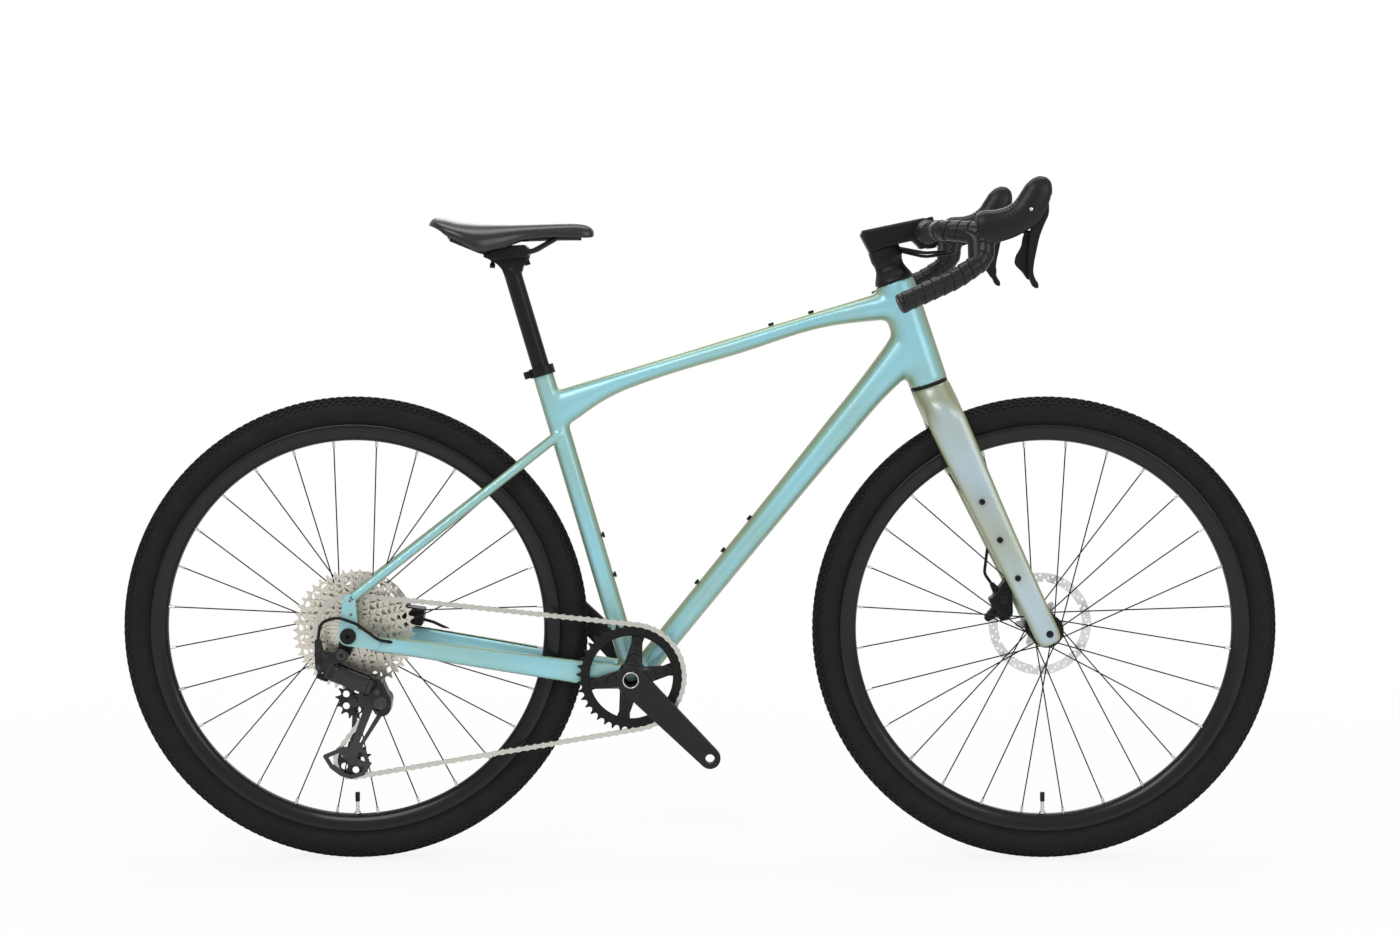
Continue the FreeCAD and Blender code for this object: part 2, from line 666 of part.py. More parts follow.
crown_solid = loft([
    section(steer_point(0, 0), steer_ahead, LEFT, S.head_tube_radius, S.head_tube_radius),
    section(steer_point(1, -14), steer_ahead, LEFT, 31.5, 37, 2.3),
    section(steer_point(3, -30), steer_ahead, LEFT, 32.0, 49, 2.8),
    section(steer_point(4, -45), steer_ahead, LEFT, 31.5, 54, 3.2),
])
race = rod(crown, steer_point(0, S.lower_stack + S.head_bearing_height), S.crown_race_radius)
taper = Part.makeCone(S.crown_race_radius, S.steerer_radius, 30,
                      steer_point(0, S.lower_stack + S.head_bearing_height), steer_up)
steerer_top = S.stem_middle + 12.5
steerer = rod(crown, steer_point(0, steerer_top), S.steerer_radius)
steerer_hollow = rod(steer_point(0, -10), steer_point(0, steerer_top + 5), S.steerer_radius - 3)
node(feature("fork_crown", fused([crown_solid, race, taper, steerer]).cut(steerer_hollow)))

leg_along = (front_axle - steer_point(4, -20)).normalize()
leg_square = LEFT.cross(leg_along).normalize() * -1
leg_length = (front_axle - steer_point(4, -20)).Length
leg_stations = [(18, 2, 30.5, 41.5, 11.5), (60, 1.5, 28.8, 42.0, 11.2), (125, 0.5, 26.0, 45.0, 10.5),
                (225, 0, 22.2, 52.0, 9.6), (310, 0, 19.4, 57.0, 8.6), (leg_length - 25, 0, 17.8, 58.6, 8.2),
                (leg_length + 4, 0, 17.0, 58.6, 8.2), (leg_length + 15, 0, 11.5, 58.6, 7.4),
                (leg_length + 19, 0, 5.0, 58.6, 6.0)]
fork_end = S.front_hub_width / 2


def fork_leg():
    """Left leg with axle hole, cargo bosses and a flat inner face at the axle."""
    wires = []
    for reach, offset, half_depth, out, half_width in leg_stations:
        centre = steer_point(4, -20) + leg_along * reach + leg_square * offset + LEFT * out
        wires.append(section(centre, leg_square, LEFT, half_depth, half_width, 2.5))
    leg = loft(wires).cut(crown_solid)
    axle = (front_axle.x, front_axle.z)
    leg = leg.cut(disc(axle, S.axle_radius, 30, 90))
    leg = leg.cut(disc(axle, 40, 0, fork_end))
    for point in cargo_holes():
        leg = leg.cut(disc((point.x, point.z), S.bolt_radius, 52, 80))
    return max(leg.Solids, key=lambda piece: piece.Volume)


def cargo_holes():
    """Three bosses down the leg, one spacing apart."""
    return [front_axle - leg_along * (98 + S.boss_spacing * i) for i in range(3)]


left_leg = fork_leg()
node(feature("fork_legs", [mirrored(left_leg), left_leg]))

# Headset cover, spacers and stem

cover_low = S.lower_stack + S.head_tube_length + 0.4
cover_high = S.stem_middle - 33
spacer_high = S.stem_middle - 17
oval_ahead, oval_side = 24.5, 20.5


def oval(height, ahead, to_side):
    return section(steer_point(0, height), steer_ahead, LEFT, ahead, to_side, 2.3)


steerer_bore = rod(steer_point(0, 100), steer_point(0, 320), S.steerer_radius)
cover = loft([oval(cover_low, S.head_tube_radius, S.head_tube_radius), oval(cover_low + 6, 28.5, 28),
              oval(cover_low + 13, 25.4, 22.5), oval(cover_high, oval_ahead, oval_side)]).cut(steerer_bore)
spacer_step = (spacer_high - cover_high) / 2
spacers = []
for i in range(2):
    low = cover_high + spacer_step * i
    spacers.append(loft([oval(low, oval_ahead, oval_side),
                         oval(low + spacer_step, oval_ahead, oval_side)]).cut(steerer_bore))
node(feature("headset_cover", [cover] + spacers))

stem_along = steer_ahead * math.cos(math.radians(S.stem_drop)) - steer_up * math.sin(math.radians(S.stem_drop))
stem_square = LEFT.cross(stem_along).normalize() * -1
bar_centre = steer_point(0, S.stem_middle) + stem_along * S.stem_length
stem_outline = [(-22.5, -17), (24, -17), (45, -19.5), (54, -36), (90, -40), (90, 6.5), (-21.5, 20.3),
                (-27.5, 13.8)]
stem_corners = [steer_point(ahead, S.stem_middle + above) for ahead, above in stem_outline]
stem_solid = slab([(p.x, p.z) for p in stem_corners], -20.5, 20.5)
stem_solid = stem_solid.makeFillet(5.0, [e for e in stem_solid.Edges if abs(e.CenterOfMass.y) > 20])
bar_hole = rod(bar_centre - LEFT * 60, bar_centre + LEFT * 60, S.bar_clamp_radius)
front_half = Part.makeBox(60, 80, 80, Vector(-1.0, -40, -40))
front_half.Placement = Placement(bar_centre, Rotation(LEFT, S.head_angle - 90 + S.stem_drop))
stem_bolts_at = [(up_down, to_side) for up_down in (-1, 1) for to_side in (-1, 1)]
face_bolts = []
for up_down, to_side in stem_bolts_at:
    foot = bar_centre + stem_square * (up_down * 19.8 - 0.6) + LEFT * (to_side * 15)
    shank = rod(foot - stem_along * 13, foot + stem_along * 9, 2.4)
    head = rod(foot + stem_along * 8, foot + stem_along * 13, 4.0)
    socket = rod(foot + stem_along * 10, foot + stem_along * 14, 2.0)
    face_bolts.append(fused([shank, head]).cut(socket))
rear_bolts = []
for height in (S.stem_middle - 8, S.stem_middle + 9.8):
    foot = steer_point(-18, height)
    rear_bolts.append(fused([rod(foot - LEFT * 14, foot + LEFT * 14, 2.4),
                             rod(foot - LEFT * 17, foot - LEFT * 12, 3.9)]))
bolt_cut = Part.makeCompound(face_bolts + rear_bolts)
stem = stem_solid.cut(steerer_bore).cut(bar_hole).cut(front_half).cut(bolt_cut)
node(feature("stem", max(stem.Solids, key=lambda piece: piece.Volume)))
plate_outline = [(0.4, -25), (9, -25), (19, -13), (21, -4), (21, 6), (18, 13), (9, 22), (0.4, 22)]
plate_corners = [bar_centre + stem_along * x + stem_square * z for x, z in plate_outline]
plate_body = slab([(p.x, p.z) for p in plate_corners], -20.5, 20.5)
faceplate = plate_body.cut(bar_hole).cut(bolt_cut)
faceplate = max(faceplate.Solids, key=lambda piece: piece.Volume)
cap_low = S.stem_middle + 13
top_cap = rod(steer_point(0, cap_low), steer_point(0, cap_low + 3.2), S.steerer_radius)
node(feature("stem_faceplate", [faceplate] + face_bolts + rear_bolts + [top_cap]))

# Handlebar, tape and plugs; the right half is drawn, the left is its mirror image

hood_side = -S.bar_half_width
drop_side = hood_side - S.bar_flare


def bar_point(ahead, above, to_left):
    """Points of the bar measured from the middle of its clamp."""
    return bar_centre + Vector(ahead, to_left, above)


right_points = [bar_point(2, 1, hood_side + 28), bar_point(63, -2, hood_side + 1),
                bar_point(66, -40, hood_side - 5), bar_point(22, -70, hood_side - 12),
                bar_point(-57, -105, drop_side)]
bar_radii = [38, 22, 32, 160]
whole_points = ([Vector(p.x, -p.y, p.z) for p in reversed(right_points)] + right_points)
bar_path = rounded_path(whole_points, [160, 32, 22, 38, 38, 22, 32, 160])
bar_outer = pipe(bar_path, S.bar_radius)
bar_inner = pipe(bar_path, S.bar_radius - S.bar_wall)
bulge = rod(bar_centre - LEFT * 34, bar_centre + LEFT * 34, S.bar_clamp_radius)
bulge_cones = [Part.makeCone(S.bar_clamp_radius, S.bar_radius, 34, bar_centre + LEFT * (34 * sign), LEFT * sign)
               for sign in (-1, 1)]
bar_solid = fused([bar_outer, bulge] + bulge_cones)
node(feature("handlebar", bar_solid.cut(bar_inner)))

tape_start = bar_point(0, 0, -40)
tape_path = rounded_path([bar_point(2, 1, -46)] + right_points, bar_radii)
tape_sleeve = pipe(tape_path, S.tape_radius)
tape_swell = Part.makeCone(S.bar_clamp_radius + 3.3, S.tape_radius, 34, tape_start, LEFT * -1)
right_tape_solid = fused([tape_sleeve, tape_swell])
right_tape = right_tape_solid.cut(bar_solid).cut(bar_inner)
right_tape = max(right_tape.Solids, key=lambda piece: piece.Volume)
plug_at = right_points[-1]
plug_out = (right_points[-1] - right_points[-2]).normalize()
plug = fused([rod(plug_at, plug_at + plug_out * 3.5, S.plug_radius),
              rod(plug_at - plug_out * 16, plug_at + plug_out, S.bar_radius - S.bar_wall)])
right_wrap = [right_tape, plug]
node(feature("bar_tape", right_wrap + [mirrored(piece) for piece in right_wrap]))

# Brake hoods and levers, drawn on the right

hood_foot = bar_point(60, 1, 0)
hood_stations = [(0, 1, 24.5, 16.5, 6), (27, 5.5, 24.0, 17.5, 10), (49, 14, 23.0, 17.5, 30), (66, 27, 23.5, 17.0, 48),
                 (77, 45, 22.5, 16.5, 62), (83.5, 62, 19.0, 14.5, 74), (86.5, 72, 13.0, 10.0, 80),
                 (87.5, 77, 5.0, 4.0, 82)]


def at_hood(ahead, above, out=0.0):
    """Side-view point of the right hood; out is away from the bike."""
    return Vector(hood_foot.x + ahead, hood_side - out, hood_foot.z + above)


def hood_plane(ahead, above):
    return hood_foot.x + ahead, hood_foot.z + above


hood_wires = []
for ahead, above, half_height, half_width, slope in hood_stations:
    square = direction(slope + 90)
    hood_wires.append(section(at_hood(ahead, above), square, LEFT, half_height, half_width, 2.3))
hood_solid = loft(hood_wires)
lever_pivot = hood_plane(89, 44)
inner, outer = hood_side - 6.6, hood_side + 6.6
slot = fused([hull(lever_pivot, 12.5, hood_plane(76, 4), 26, inner, outer),
              hull(hood_plane(76, 4), 26, hood_plane(92, 14), 26, inner, outer),
              hull(hood_plane(70, -8), 13, hood_plane(44, 6), 13, inner, hood_side + 14.2),
              hull(hood_plane(44, 6), 13, hood_plane(32, -14), 13, inner, hood_side + 14.2)])
pin = disc(lever_pivot, S.lever_pin_radius, hood_side - 12, hood_side + 12)
hood_grip = hood_solid.cut(right_tape_solid).cut(bar_inner).cut(slot)
hood_grip = max(hood_grip.Solids, key=lambda piece: piece.Volume)
right_hood = [hood_grip.cut(pin), pin]
node(feature("lever_hoods", right_hood + [mirrored(piece) for piece in right_hood]))

lever_outline = [(90.5, 52), (95.5, 47), (97.0, 36), (96.5, 22), (90.5, 8), (84.5, -8), (79.5, -30), (76, -49),
                 (75.3, -62), (78.2, -71), (82.5, -78), (81.8, -84.5), (76.5, -83), (70.5, -74), (67.5, -58),
                 (66.8, -41), (67.8, -25), (69.5, -8), (72, 9), (77, 26), (83, 42)]
blade = smooth_plate([hood_plane(u, v) for u, v in lever_outline], hood_side - 5, hood_side + 5)
lug_low, lug_high = hood_plane(74, -10), hood_plane(80, 2)
lug = Part.makeBox(lug_high[0] - lug_low[0], 8.5, lug_high[1] - lug_low[1],
                   Vector(lug_low[0], hood_side + 3.5, lug_low[1]))
paddle_pin = rod(Vector(lug_low[0] - 13, hood_side + 9, lug_low[1] + 6),
                 Vector(lug_low[0] + 1, hood_side + 9, lug_low[1] + 6), 1.8)
lever_eye = disc(lever_pivot, S.lever_pin_radius + S.running_clearance, hood_side - 10, hood_side + 10)
right_lever = fused([blade, lug, paddle_pin]).cut(lever_eye)
node(feature("brake_lever_right", right_lever))
node(feature("brake_lever_left", mirrored(right_lever)))

paddle_outline = [(71, -1), (72.5, -20), (74.5, -48), (75, -66), (70, -72), (60, -61), (49, -47), (50, -40),
                  (58, -24), (63, -6)]
paddle_low = hood_side + 6.4
paddle = smooth_plate([hood_plane(u, v) for u, v in paddle_outline], paddle_low, paddle_low + 2.6)
eye_low = Vector(lug_low[0] - 12, hood_side + 9, lug_low[1] + 6)
eye = rod(eye_low, eye_low + Vector(11.3, 0, 0), 3.6)
eye_bore = rod(eye_low - Vector(2, 0, 0), eye_low + Vector(13, 0, 0), 1.8 + S.running_clearance)
paddle = fused([paddle, eye]).cut(eye_bore)
paddle = paddle.cut(Part.makeBox(20, 30, 15, Vector(lug_low[0] - 0.6, hood_side + 3, lug_low[1] - 1)))
right_paddle = max(paddle.Solids, key=lambda piece: piece.Volume)
node(feature("shift_paddle_right", right_paddle))
node(feature("shift_paddle_left", mirrored(right_paddle)))

# Hoses at the handlebar run from under the tape back below the stem

right_brake_points = [bar_point(10, -8, -86), bar_point(32, -17, -72), bar_point(30, -29, -46),
                      bar_point(-2, -31, -20), steer_point(22, spacer_high - 6, -8)]
right_shift_points = [bar_point(10, -8, -98), bar_point(40, -12, -84), bar_point(40, -31, -50),
                      bar_point(-2, -37, -12), steer_point(22, spacer_high - 11, -3)]
hose_block = [right_tape_solid, spacers[0], spacers[1]]
hoses = []
for points in (right_brake_points, right_shift_points):
    hose = pipe(rounded_path(points, [14, 20, 30]), S.hose_radius)
    for block in hose_block + [steerer]:
        hose = hose.cut(block)
    hoses.append(max(hose.Solids, key=lambda piece: piece.Volume))
hoses.append(mirrored(hoses[0]))


# Wheels

def wheel_place(axle):
    return Placement(axle, Rotation())


def spoke_ends(flanges, index):
    """Hub point, nipple point and direction of one spoke, wheel centre as origin."""
    count = int(S.spoke_count)
    step = 360.0 / count
    rim_angle = -90 + step / 2 + step * index
    to_left = index % 2 == 1
    trailing = (index // 2) % 2 == 1
    lean = 2 * 720.0 / count * (1 if trailing else -1)
    flange, radius = flanges[1] if to_left else flanges[0]
    outside = (1 if to_left else -1) * (1 if trailing else -1)
    hub_point = direction(rim_angle + lean) * (radius - 2.5) + LEFT * (flange + outside * 2.7)
    rim_point = direction(rim_angle) * (S.rim_radius - S.rim_depth + 4) + LEFT * (2.0 if to_left else -2.0)
    return hub_point, rim_point, (hub_point - rim_point).normalize()


def rim_loops():
    """Hollow rim section: outer outline and the chamber inside it."""
    edge, bed, half = S.rim_radius, S.rim_radius - S.rim_depth, S.rim_width / 2
    wall = S.rim_wall
    profile = [(bed, half * 0.3), (bed + 4, half * 0.72), (bed + 13, half), (edge, half),
               (edge, half - 2), (edge - 4, half - 2), (edge - 4, half - 5), (edge - 8, half - 8)]
    chamber = [(bed + wall, half * 0.22), (bed + 5, half * 0.72 - wall), (bed + 13.5, half - wall),
               (edge - 8 - wall, half - wall)]
    outline = profile + [(r, -y) for r, y in reversed(profile)]
    hole = chamber + [(r, -y) for r, y in reversed(chamber)]
    return [outline, hole]


def tyre_shape():
    """Round tyre with its beads inside the rim edges."""
    crown_r, half = S.tyre_radius, S.tyre_width / 2
    bead, edge = S.rim_radius - 4, S.rim_radius + 0.6
    inside = S.rim_width / 2 - 2.2
    widest = crown_r - 23

    def outline(sign, gap):
        wide = half - gap
        foot = inside - gap
        deep = S.tread_depth if gap else 0.0
        top = crown_r - deep
        round_part = (top - widest) * math.sqrt(0.5)
        return [Vector(bead, sign * foot, 0), Vector(edge + gap, sign * foot, 0),
                Vector(edge + 8, sign * (foot + (wide - foot) * 0.73), 0), Vector(widest, sign * wide, 0),
                Vector(widest + round_part, sign * wide * math.sqrt(0.5), 0), Vector(top, 0, 0)]

    def half_edges(points):
        return [Part.makeLine(points[0], points[1]), Part.Arc(*points[1:4]).toShape(),
                Part.Arc(*points[3:6]).toShape()]

    outer_left, outer_right = outline(1, 0.0), outline(-1, 0.0)
    inner_left, inner_right = outline(1, S.tyre_wall), outline(-1, S.tyre_wall)
    edges = half_edges(outer_left) + half_edges(outer_right) + half_edges(inner_left) + half_edges(inner_right)
    edges += [Part.makeLine(outer_left[0], inner_left[0]), Part.makeLine(outer_right[0], inner_right[0])]
    face = Part.Face(Part.Wire(Part.__sortEdges__(edges)))
    return face.revolve(Vector(0, 0, 0), LEFT, 360)


def rotor_solids(at):
    """Drilled brake disc, riveted carrier and lock ring, wheel centre as origin."""
    outer, inner = S.rotor_radius, S.rotor_radius - S.rotor_track
    half = S.rotor_thickness / 2

    def circle(angle, reach, radius):
        return Part.Wire(Part.makeCircle(radius, direction(angle) * reach + LEFT * (at - half), LEFT))

    wires = [circle(0, 0, outer), circle(0, 0, inner)]
    for i in range(24):
        wires.append(circle(i * 15, outer - 3.6, 1.9))
        wires.append(circle(i * 15 + 5, outer - 7.2, 1.7))
        wires.append(circle(i * 15 + 10, outer - 10.6, 1.5))
    track = Part.Face(wires).extrude(LEFT * S.rotor_thickness)
    arms, lobes, rivets = [track], [], []
    for i in range(6):
        root = direction(i * 60) * 34.4
        tip = direction(i * 60 + 24) * (inner + 2)
        arms.append(hull((root.x, root.z), 4.2, (tip.x, tip.z), 2.6, at - half, at + half))
        lobes.append(hull((root.x * 0.5, root.z * 0.5), 9, (root.x, root.z), 4.6, at - half - 2, at - half))
        rivets.append(disc((root.x, root.z), 2.6, at - half - 2, at + half + 0.8))
    lobes.append(disc((0, 0), 24, at - half - 2, at - half))
    drilled = fused(arms)
    carrier = fused(lobes).cut(disc((0, 0), 17, at - 20, at + 20))
    holes = Part.makeCompound(rivets)
    lock_ring = ring(LEFT * (at - half), LEFT, 20, 11, 5)
    return [drilled.cut(holes), carrier.cut(holes), lock_ring] + rivets


def wheel(name, axle, flanges, hub_loop, rotor_at, bearings):
    """All pieces of one wheel around its axle."""
    place = wheel_place(axle)
    node(feature(name + "_tyre", tyre_shape(), place))
    spokes, holes = [], []
    for index in range(int(S.spoke_count)):
        hub_point, rim_point, inward = spoke_ends(flanges, index)
        shoulder = rim_point + inward * 13
        nipple = rod(rim_point, shoulder, S.nipple_radius)
        spokes += [rod(shoulder, hub_point, S.spoke_radius), nipple]
        holes.append(rod(rim_point - inward * 2, shoulder, S.nipple_radius + S.bolt_clearance))
    valve_foot = direction(-90) * (S.rim_radius - 10)
    bed = S.rim_radius - S.rim_depth
    stem_rod = rod(valve_foot, direction(-90) * (bed - 19), 3.0)
    cap = rod(direction(-90) * (bed - 19), direction(-90) * (bed - 33), 3.6)
    nut = ring(direction(-90) * (bed - 0.3), direction(90), 5, 3.0, 3)
    holes.append(rod(direction(-90) * (S.rim_radius - 2), direction(-90) * (bed - 5), 3.2))
    rim_ring = turned(name + "_rim_ring", rim_loops(), place)
    rim_holes = feature(name + "_rim_holes", holes, place)
    node(cut(name + "_rim", rim_ring, [rim_holes]))
    node(feature(name + "_spokes", spokes, place))
    node(feature(name + "_valve", [stem_rod, cap, nut], place))
    hub_shell = turned(name + "_hub_shell", [hub_loop], place)
    rings = [ring(LEFT * low, LEFT, S.hub_bearing_radius, S.sleeve_radius + S.running_clearance, high - low)
             for low, high in bearings]
    node(compound(name + "_hub", [hub_shell, feature(name + "_hub_bearings", rings, place)]))
    node(feature(name + "_rotor", rotor_solids(rotor_at), place))


def hub_outline(right, right_flange, left_flange, left, radii, seats):
    """Hub shell from its right end to its left end, bearing seats at both ends."""
    flange_right, flange_left = radii
    bore, seat = S.sleeve_radius + 1.2, S.hub_bearing_radius
    return [(seat, right), (17.0, right), (17.0, right_flange - 1.6), (flange_right, right_flange - 1.6),
            (flange_right, right_flange + 1.6), (16.0, right_flange + 2.6), (12.6, right_flange + 9),
            (12.6, left_flange - 9), (16.0, left_flange - 2.6), (flange_left, left_flange - 1.6),
            (flange_left, left_flange + 1.6), (17.0, left_flange + 1.6), (17.0, left), (seat, left),
            (seat, left - seats), (bore, left - seats), (bore, right + seats), (seat, right + seats)]


front_left = S.front_rotor_side - S.rotor_thickness / 2
rear_left = S.rear_rotor_side - S.rotor_thickness / 2
SEAT = 8.0
wheel("front", front_axle, [(-33.0, 26.0), (22.0, 26.0)],
      hub_outline(-40.0, -33.0, 22.0, front_left, (26.0, 26.0), SEAT), S.front_rotor_side,
      [(-40.0, -32.0), (front_left - SEAT, front_left)])
wheel("rear", rear_axle, [(-15.0, 28.0), (32.0, 26.0)],
      hub_outline(-20.5, -15.0, 32.0, rear_left, (28.0, 26.0), SEAT), S.rear_rotor_side,
      [(-20.5, -12.5), (rear_left - SEAT, rear_left)])


def through_axle(axle, right, left, hub_right, hub_left, head_radius):
    """Through axle with its head on the right, and the fixed sleeve inside the hub."""
    shaft = rod(axle + LEFT * right, axle + LEFT * left, S.axle_radius)
    head = rod(axle + LEFT * (right - 4), axle + LEFT * right, head_radius)
    socket = rod(axle + LEFT * (right - 5), axle + LEFT * (right + 3), 3.4)
    sleeve = ring(axle + LEFT * hub_right, LEFT, S.sleeve_radius, S.axle_radius, hub_left - hub_right)
    return [fused([shaft, head]).cut(socket), sleeve]


node(feature("front_axle", through_axle(front_axle, -fork_end - 17, fork_end + 16.5, -fork_end, fork_end, 9.5)))


# Brake calipers straddle the discs

def caliper(centre, along, square, axle, rotor_at, length, depth):
    """Body around the disc's edge, with one pad on each side of the disc."""
    half = 14.0
    slot_half = 4.6
    carrier_radius, carrier_half = 42, 5
    rim = (axle.x, axle.z)

    def block(x0, x1, y0, y1, z0, z1):
        corners = [centre + along * x + square * z for x, z in ((x0, z0), (x1, z0), (x1, z1), (x0, z1))]
        return slab([(p.x, p.z) for p in corners], rotor_at + y0, rotor_at + y1)

    body = block(-length / 2, length / 2, -half, half, 0, depth)
    body = body.makeFillet(3.0, [e for e in body.Edges if abs(e.Vertexes[0].Y - e.Vertexes[1].Y) > 20])
    sweep = S.rotor_radius + 2
    pocket = block(-length / 2 + 8, length / 2 - 8, -slot_half, slot_half, -1, depth + 1)
    body = body.cut(disc(rim, sweep, rotor_at - 2, rotor_at + 2))
    body = body.cut(disc(rim, carrier_radius, rotor_at - carrier_half, rotor_at + carrier_half))
    body = body.cut(pocket.common(disc(rim, sweep, rotor_at - 20, rotor_at + 20)))
    pads = []
    for low, high in ((1.4, slot_half), (-slot_half, -1.4)):
        pad = block(-length / 2 + 8.2, length / 2 - 8.2, low, high, 1, depth - 1)
        pads.append(pad.common(disc(rim, S.rotor_radius - 0.5, rotor_at - 20, rotor_at + 20)))
    return [max(body.Solids, key=lambda piece: piece.Volume)] + pads


stay_along = (shifted(-380, 333) - shifted(-450, 343.5)).normalize()
stay_square = LEFT.cross(stay_along).normalize() * -1
rear_caliper_at = shifted(-461, 357.6)
rear_caliper = caliper(rear_caliper_at, stay_along, stay_square, rear_axle, S.rear_rotor_side, 54, 27)
node(feature("rear_caliper", rear_caliper))
front_caliper_at = front_axle - leg_along * 57 - leg_square * 51
front_caliper = caliper(front_caliper_at, leg_along * -1, leg_square, front_axle, S.front_rotor_side, 52, 33)
front_caliper[0] = front_caliper[0].cut(left_leg)
node(feature("front_caliper", front_caliper))

rear_hose_points = [rear_caliper_at + stay_along * 25 + stay_square * 8 + LEFT * (S.rear_rotor_side + 6),
                    rear_caliper_at + stay_along * 42 + stay_square * 6 + LEFT * 61,
                    shifted(-386, 333) + LEFT * 60 + UP * 9]
rear_hose = pipe(rounded_path(rear_hose_points, [16]), S.hose_radius)
rear_hose = rear_hose.cut(left_stay_solid).cut(rear_caliper[0])
rear_hose = max(rear_hose.Solids, key=lambda piece: piece.Volume)
front_top = front_caliper_at - leg_along * 28 + leg_square * 10 + LEFT * 46
front_hose_points = [front_top, front_top - leg_along * 22 - leg_square * 4 + LEFT * 3,
                     front_axle - leg_along * 152 - leg_square * 16 + LEFT * 54]
front_hose = pipe(rounded_path(front_hose_points, [16]), S.hose_radius).cut(left_leg).cut(front_caliper[0])
hoses.append(max(front_hose.Solids, key=lambda piece: piece.Volume))
node(feature("control_hoses", hoses))


# Chain drive: sprockets, chain path and pulleys

PITCH = float(S.chain_pitch)
ROLLER = float(S.roller_radius)


def pitch_radius(teeth):
    return PITCH / (2 * math.sin(math.pi / teeth))


def toothed_wire(teeth, phase, at, tip=3.1):
    """Outline of a sprocket whose first tooth gap lies at the phase angle."""
    radius = pitch_radius(teeth)
    seat = ROLLER + 0.12
    step = 360.0 / teeth
    edges = []
    points = []
    for i in range(int(teeth)):
        gap = phase + step * i
        centre = direction(gap) * radius
        before = centre + direction(gap + 180 + 62) * seat
        middle = centre - direction(gap) * seat
        after = centre + direction(gap + 180 - 62) * seat
        points.append((before, middle, after, gap))
    lift = LEFT * at
    for i in range(int(teeth)):
        before, middle, after, gap = points[i]
        following = points[(i + 1) % int(teeth)][0]
        half_tip = math.degrees(0.75 / (radius + tip))
        tip_low = direction(gap + step / 2 - half_tip) * (radius + tip)
        tip_high = direction(gap + step / 2 + half_tip) * (radius + tip)
        edges += [Part.Arc(before + lift, middle + lift, after + lift).toShape(),
                  Part.makeLine(after + lift, tip_low + lift), Part.makeLine(tip_low + lift, tip_high + lift),
                  Part.makeLine(tip_high + lift, following + lift)]
    return Part.Wire(edges)


def hole_wire(angle, reach, radius, at):
    return Part.Wire(Part.makeCircle(radius, direction(angle) * reach + LEFT * at, LEFT))


def toothed_plate(teeth, phase, at, thickness, bore, holes):
    wires = [toothed_wire(teeth, phase, at - thickness / 2), hole_wire(0, 0, bore, at - thickness / 2)]
    wires += [hole_wire(angle, reach, radius, at - thickness / 2) for angle, reach, radius in holes]
    return Part.Face(wires).extrude(LEFT * thickness)


COGS = [10, 12, 14, 16, 18, 21, 24, 28, 32, 36, 40, 45]
CHAIN_COG = 28


def cog_side(index):
    return float(S.sprocket_spacing) * index - float(S.smallest_side)


cog_y = cog_side(COGS.index(CHAIN_COG))
ring_y = -float(S.chainring_side)
cage_pivot = rear_axle + Vector(48, 0, -101)
guide_reach = Vector(-46, 0, -3)
tension_reach = Vector(-52, 0, -96)


def turned_about(vector, angle):
    return Rotation(LEFT, -angle).multVec(vector)


def drive_circles(cage_angle):
    """Centre, radius, sense (1 clockwise) and side of each wheel in chain order."""
    guide = cage_pivot + turned_about(guide_reach, cage_angle)
    tension = cage_pivot + turned_about(tension_reach, cage_angle)
    pulley = pitch_radius(S.pulley_teeth)
    return [(rear_axle, pitch_radius(CHAIN_COG), 1, cog_y),
            (bracket, pitch_radius(S.chainring_teeth), 1, ring_y),
            (tension, pulley, 1, cog_y), (guide, pulley, -1, cog_y)]


def drive_path(cage_angle):
    """Straight runs and arcs of the closed chain line, as sampled stretches."""
    circles = drive_circles(cage_angle)
    runs = []
    for i, (centre, radius, sense, out) in enumerate(circles):
        other, other_radius, other_sense, other_out = circles[(i + 1) % 4]
        dx, dz = other.x - centre.x, other.z - centre.z
        length = math.hypot(dx, dz)
        along = math.acos((sense * radius - other_sense * other_radius) / length)
        angle = math.atan2(dz, dx) + along
        normal = Vector(math.cos(angle), 0, math.sin(angle))
        leave = centre + normal * (sense * radius)
        arrive = other + normal * (other_sense * other_radius)
        runs.append((leave + LEFT * out, arrive + LEFT * other_out))
    stretches = []
    for i, (leave, arrive) in enumerate(runs):
        stretches.append(("line", leave, arrive, (arrive - leave).Length))
        centre, radius, sense, out = circles[(i + 1) % 4]
        away = runs[(i + 1) % 4][0]
        start = math.atan2(arrive.z - centre.z, arrive.x - centre.x)
        end = math.atan2(away.z - centre.z, away.x - centre.x)
        sweep = (start - end) % (2 * math.pi) if sense > 0 else (end - start) % (2 * math.pi)
        stretches.append(("arc", (centre, radius, sense, out), start, radius * sweep))
    return stretches


def path_point(stretches, reach):
    total = sum(stretch[3] for stretch in stretches)
    reach %= total
    for kind, first, second, length in stretches:
        if reach <= length:
            if kind == "line":
                return first + (second - first) * (reach / length)
            centre, radius, sense, out = first
            angle = second - sense * reach / radius
            return centre + Vector(math.cos(angle), 0, math.sin(angle)) * radius + LEFT * out
        reach -= length
    return path_point(stretches, 0.0)


def walk(stretches, links):
    """Pins one pitch apart, starting on the chainring; returns pins and the overshoot."""
    total = sum(stretch[3] for stretch in stretches)
    reach = stretches[0][3] + stretches[1][3] * 0.5
    first = reach
    pins = [path_point(stretches, reach)]
    for i in range(links):
        low, high = reach + PITCH * 0.98, reach + PITCH * 1.08
        for j in range(34):
            middle = (low + high) / 2
            if (path_point(stretches, middle) - pins[-1]).Length < PITCH:
                low = middle
            else:
                high = middle
        reach = (low + high) / 2
        pins.append(path_point(stretches, reach))
    return pins[:-1], reach - first - total


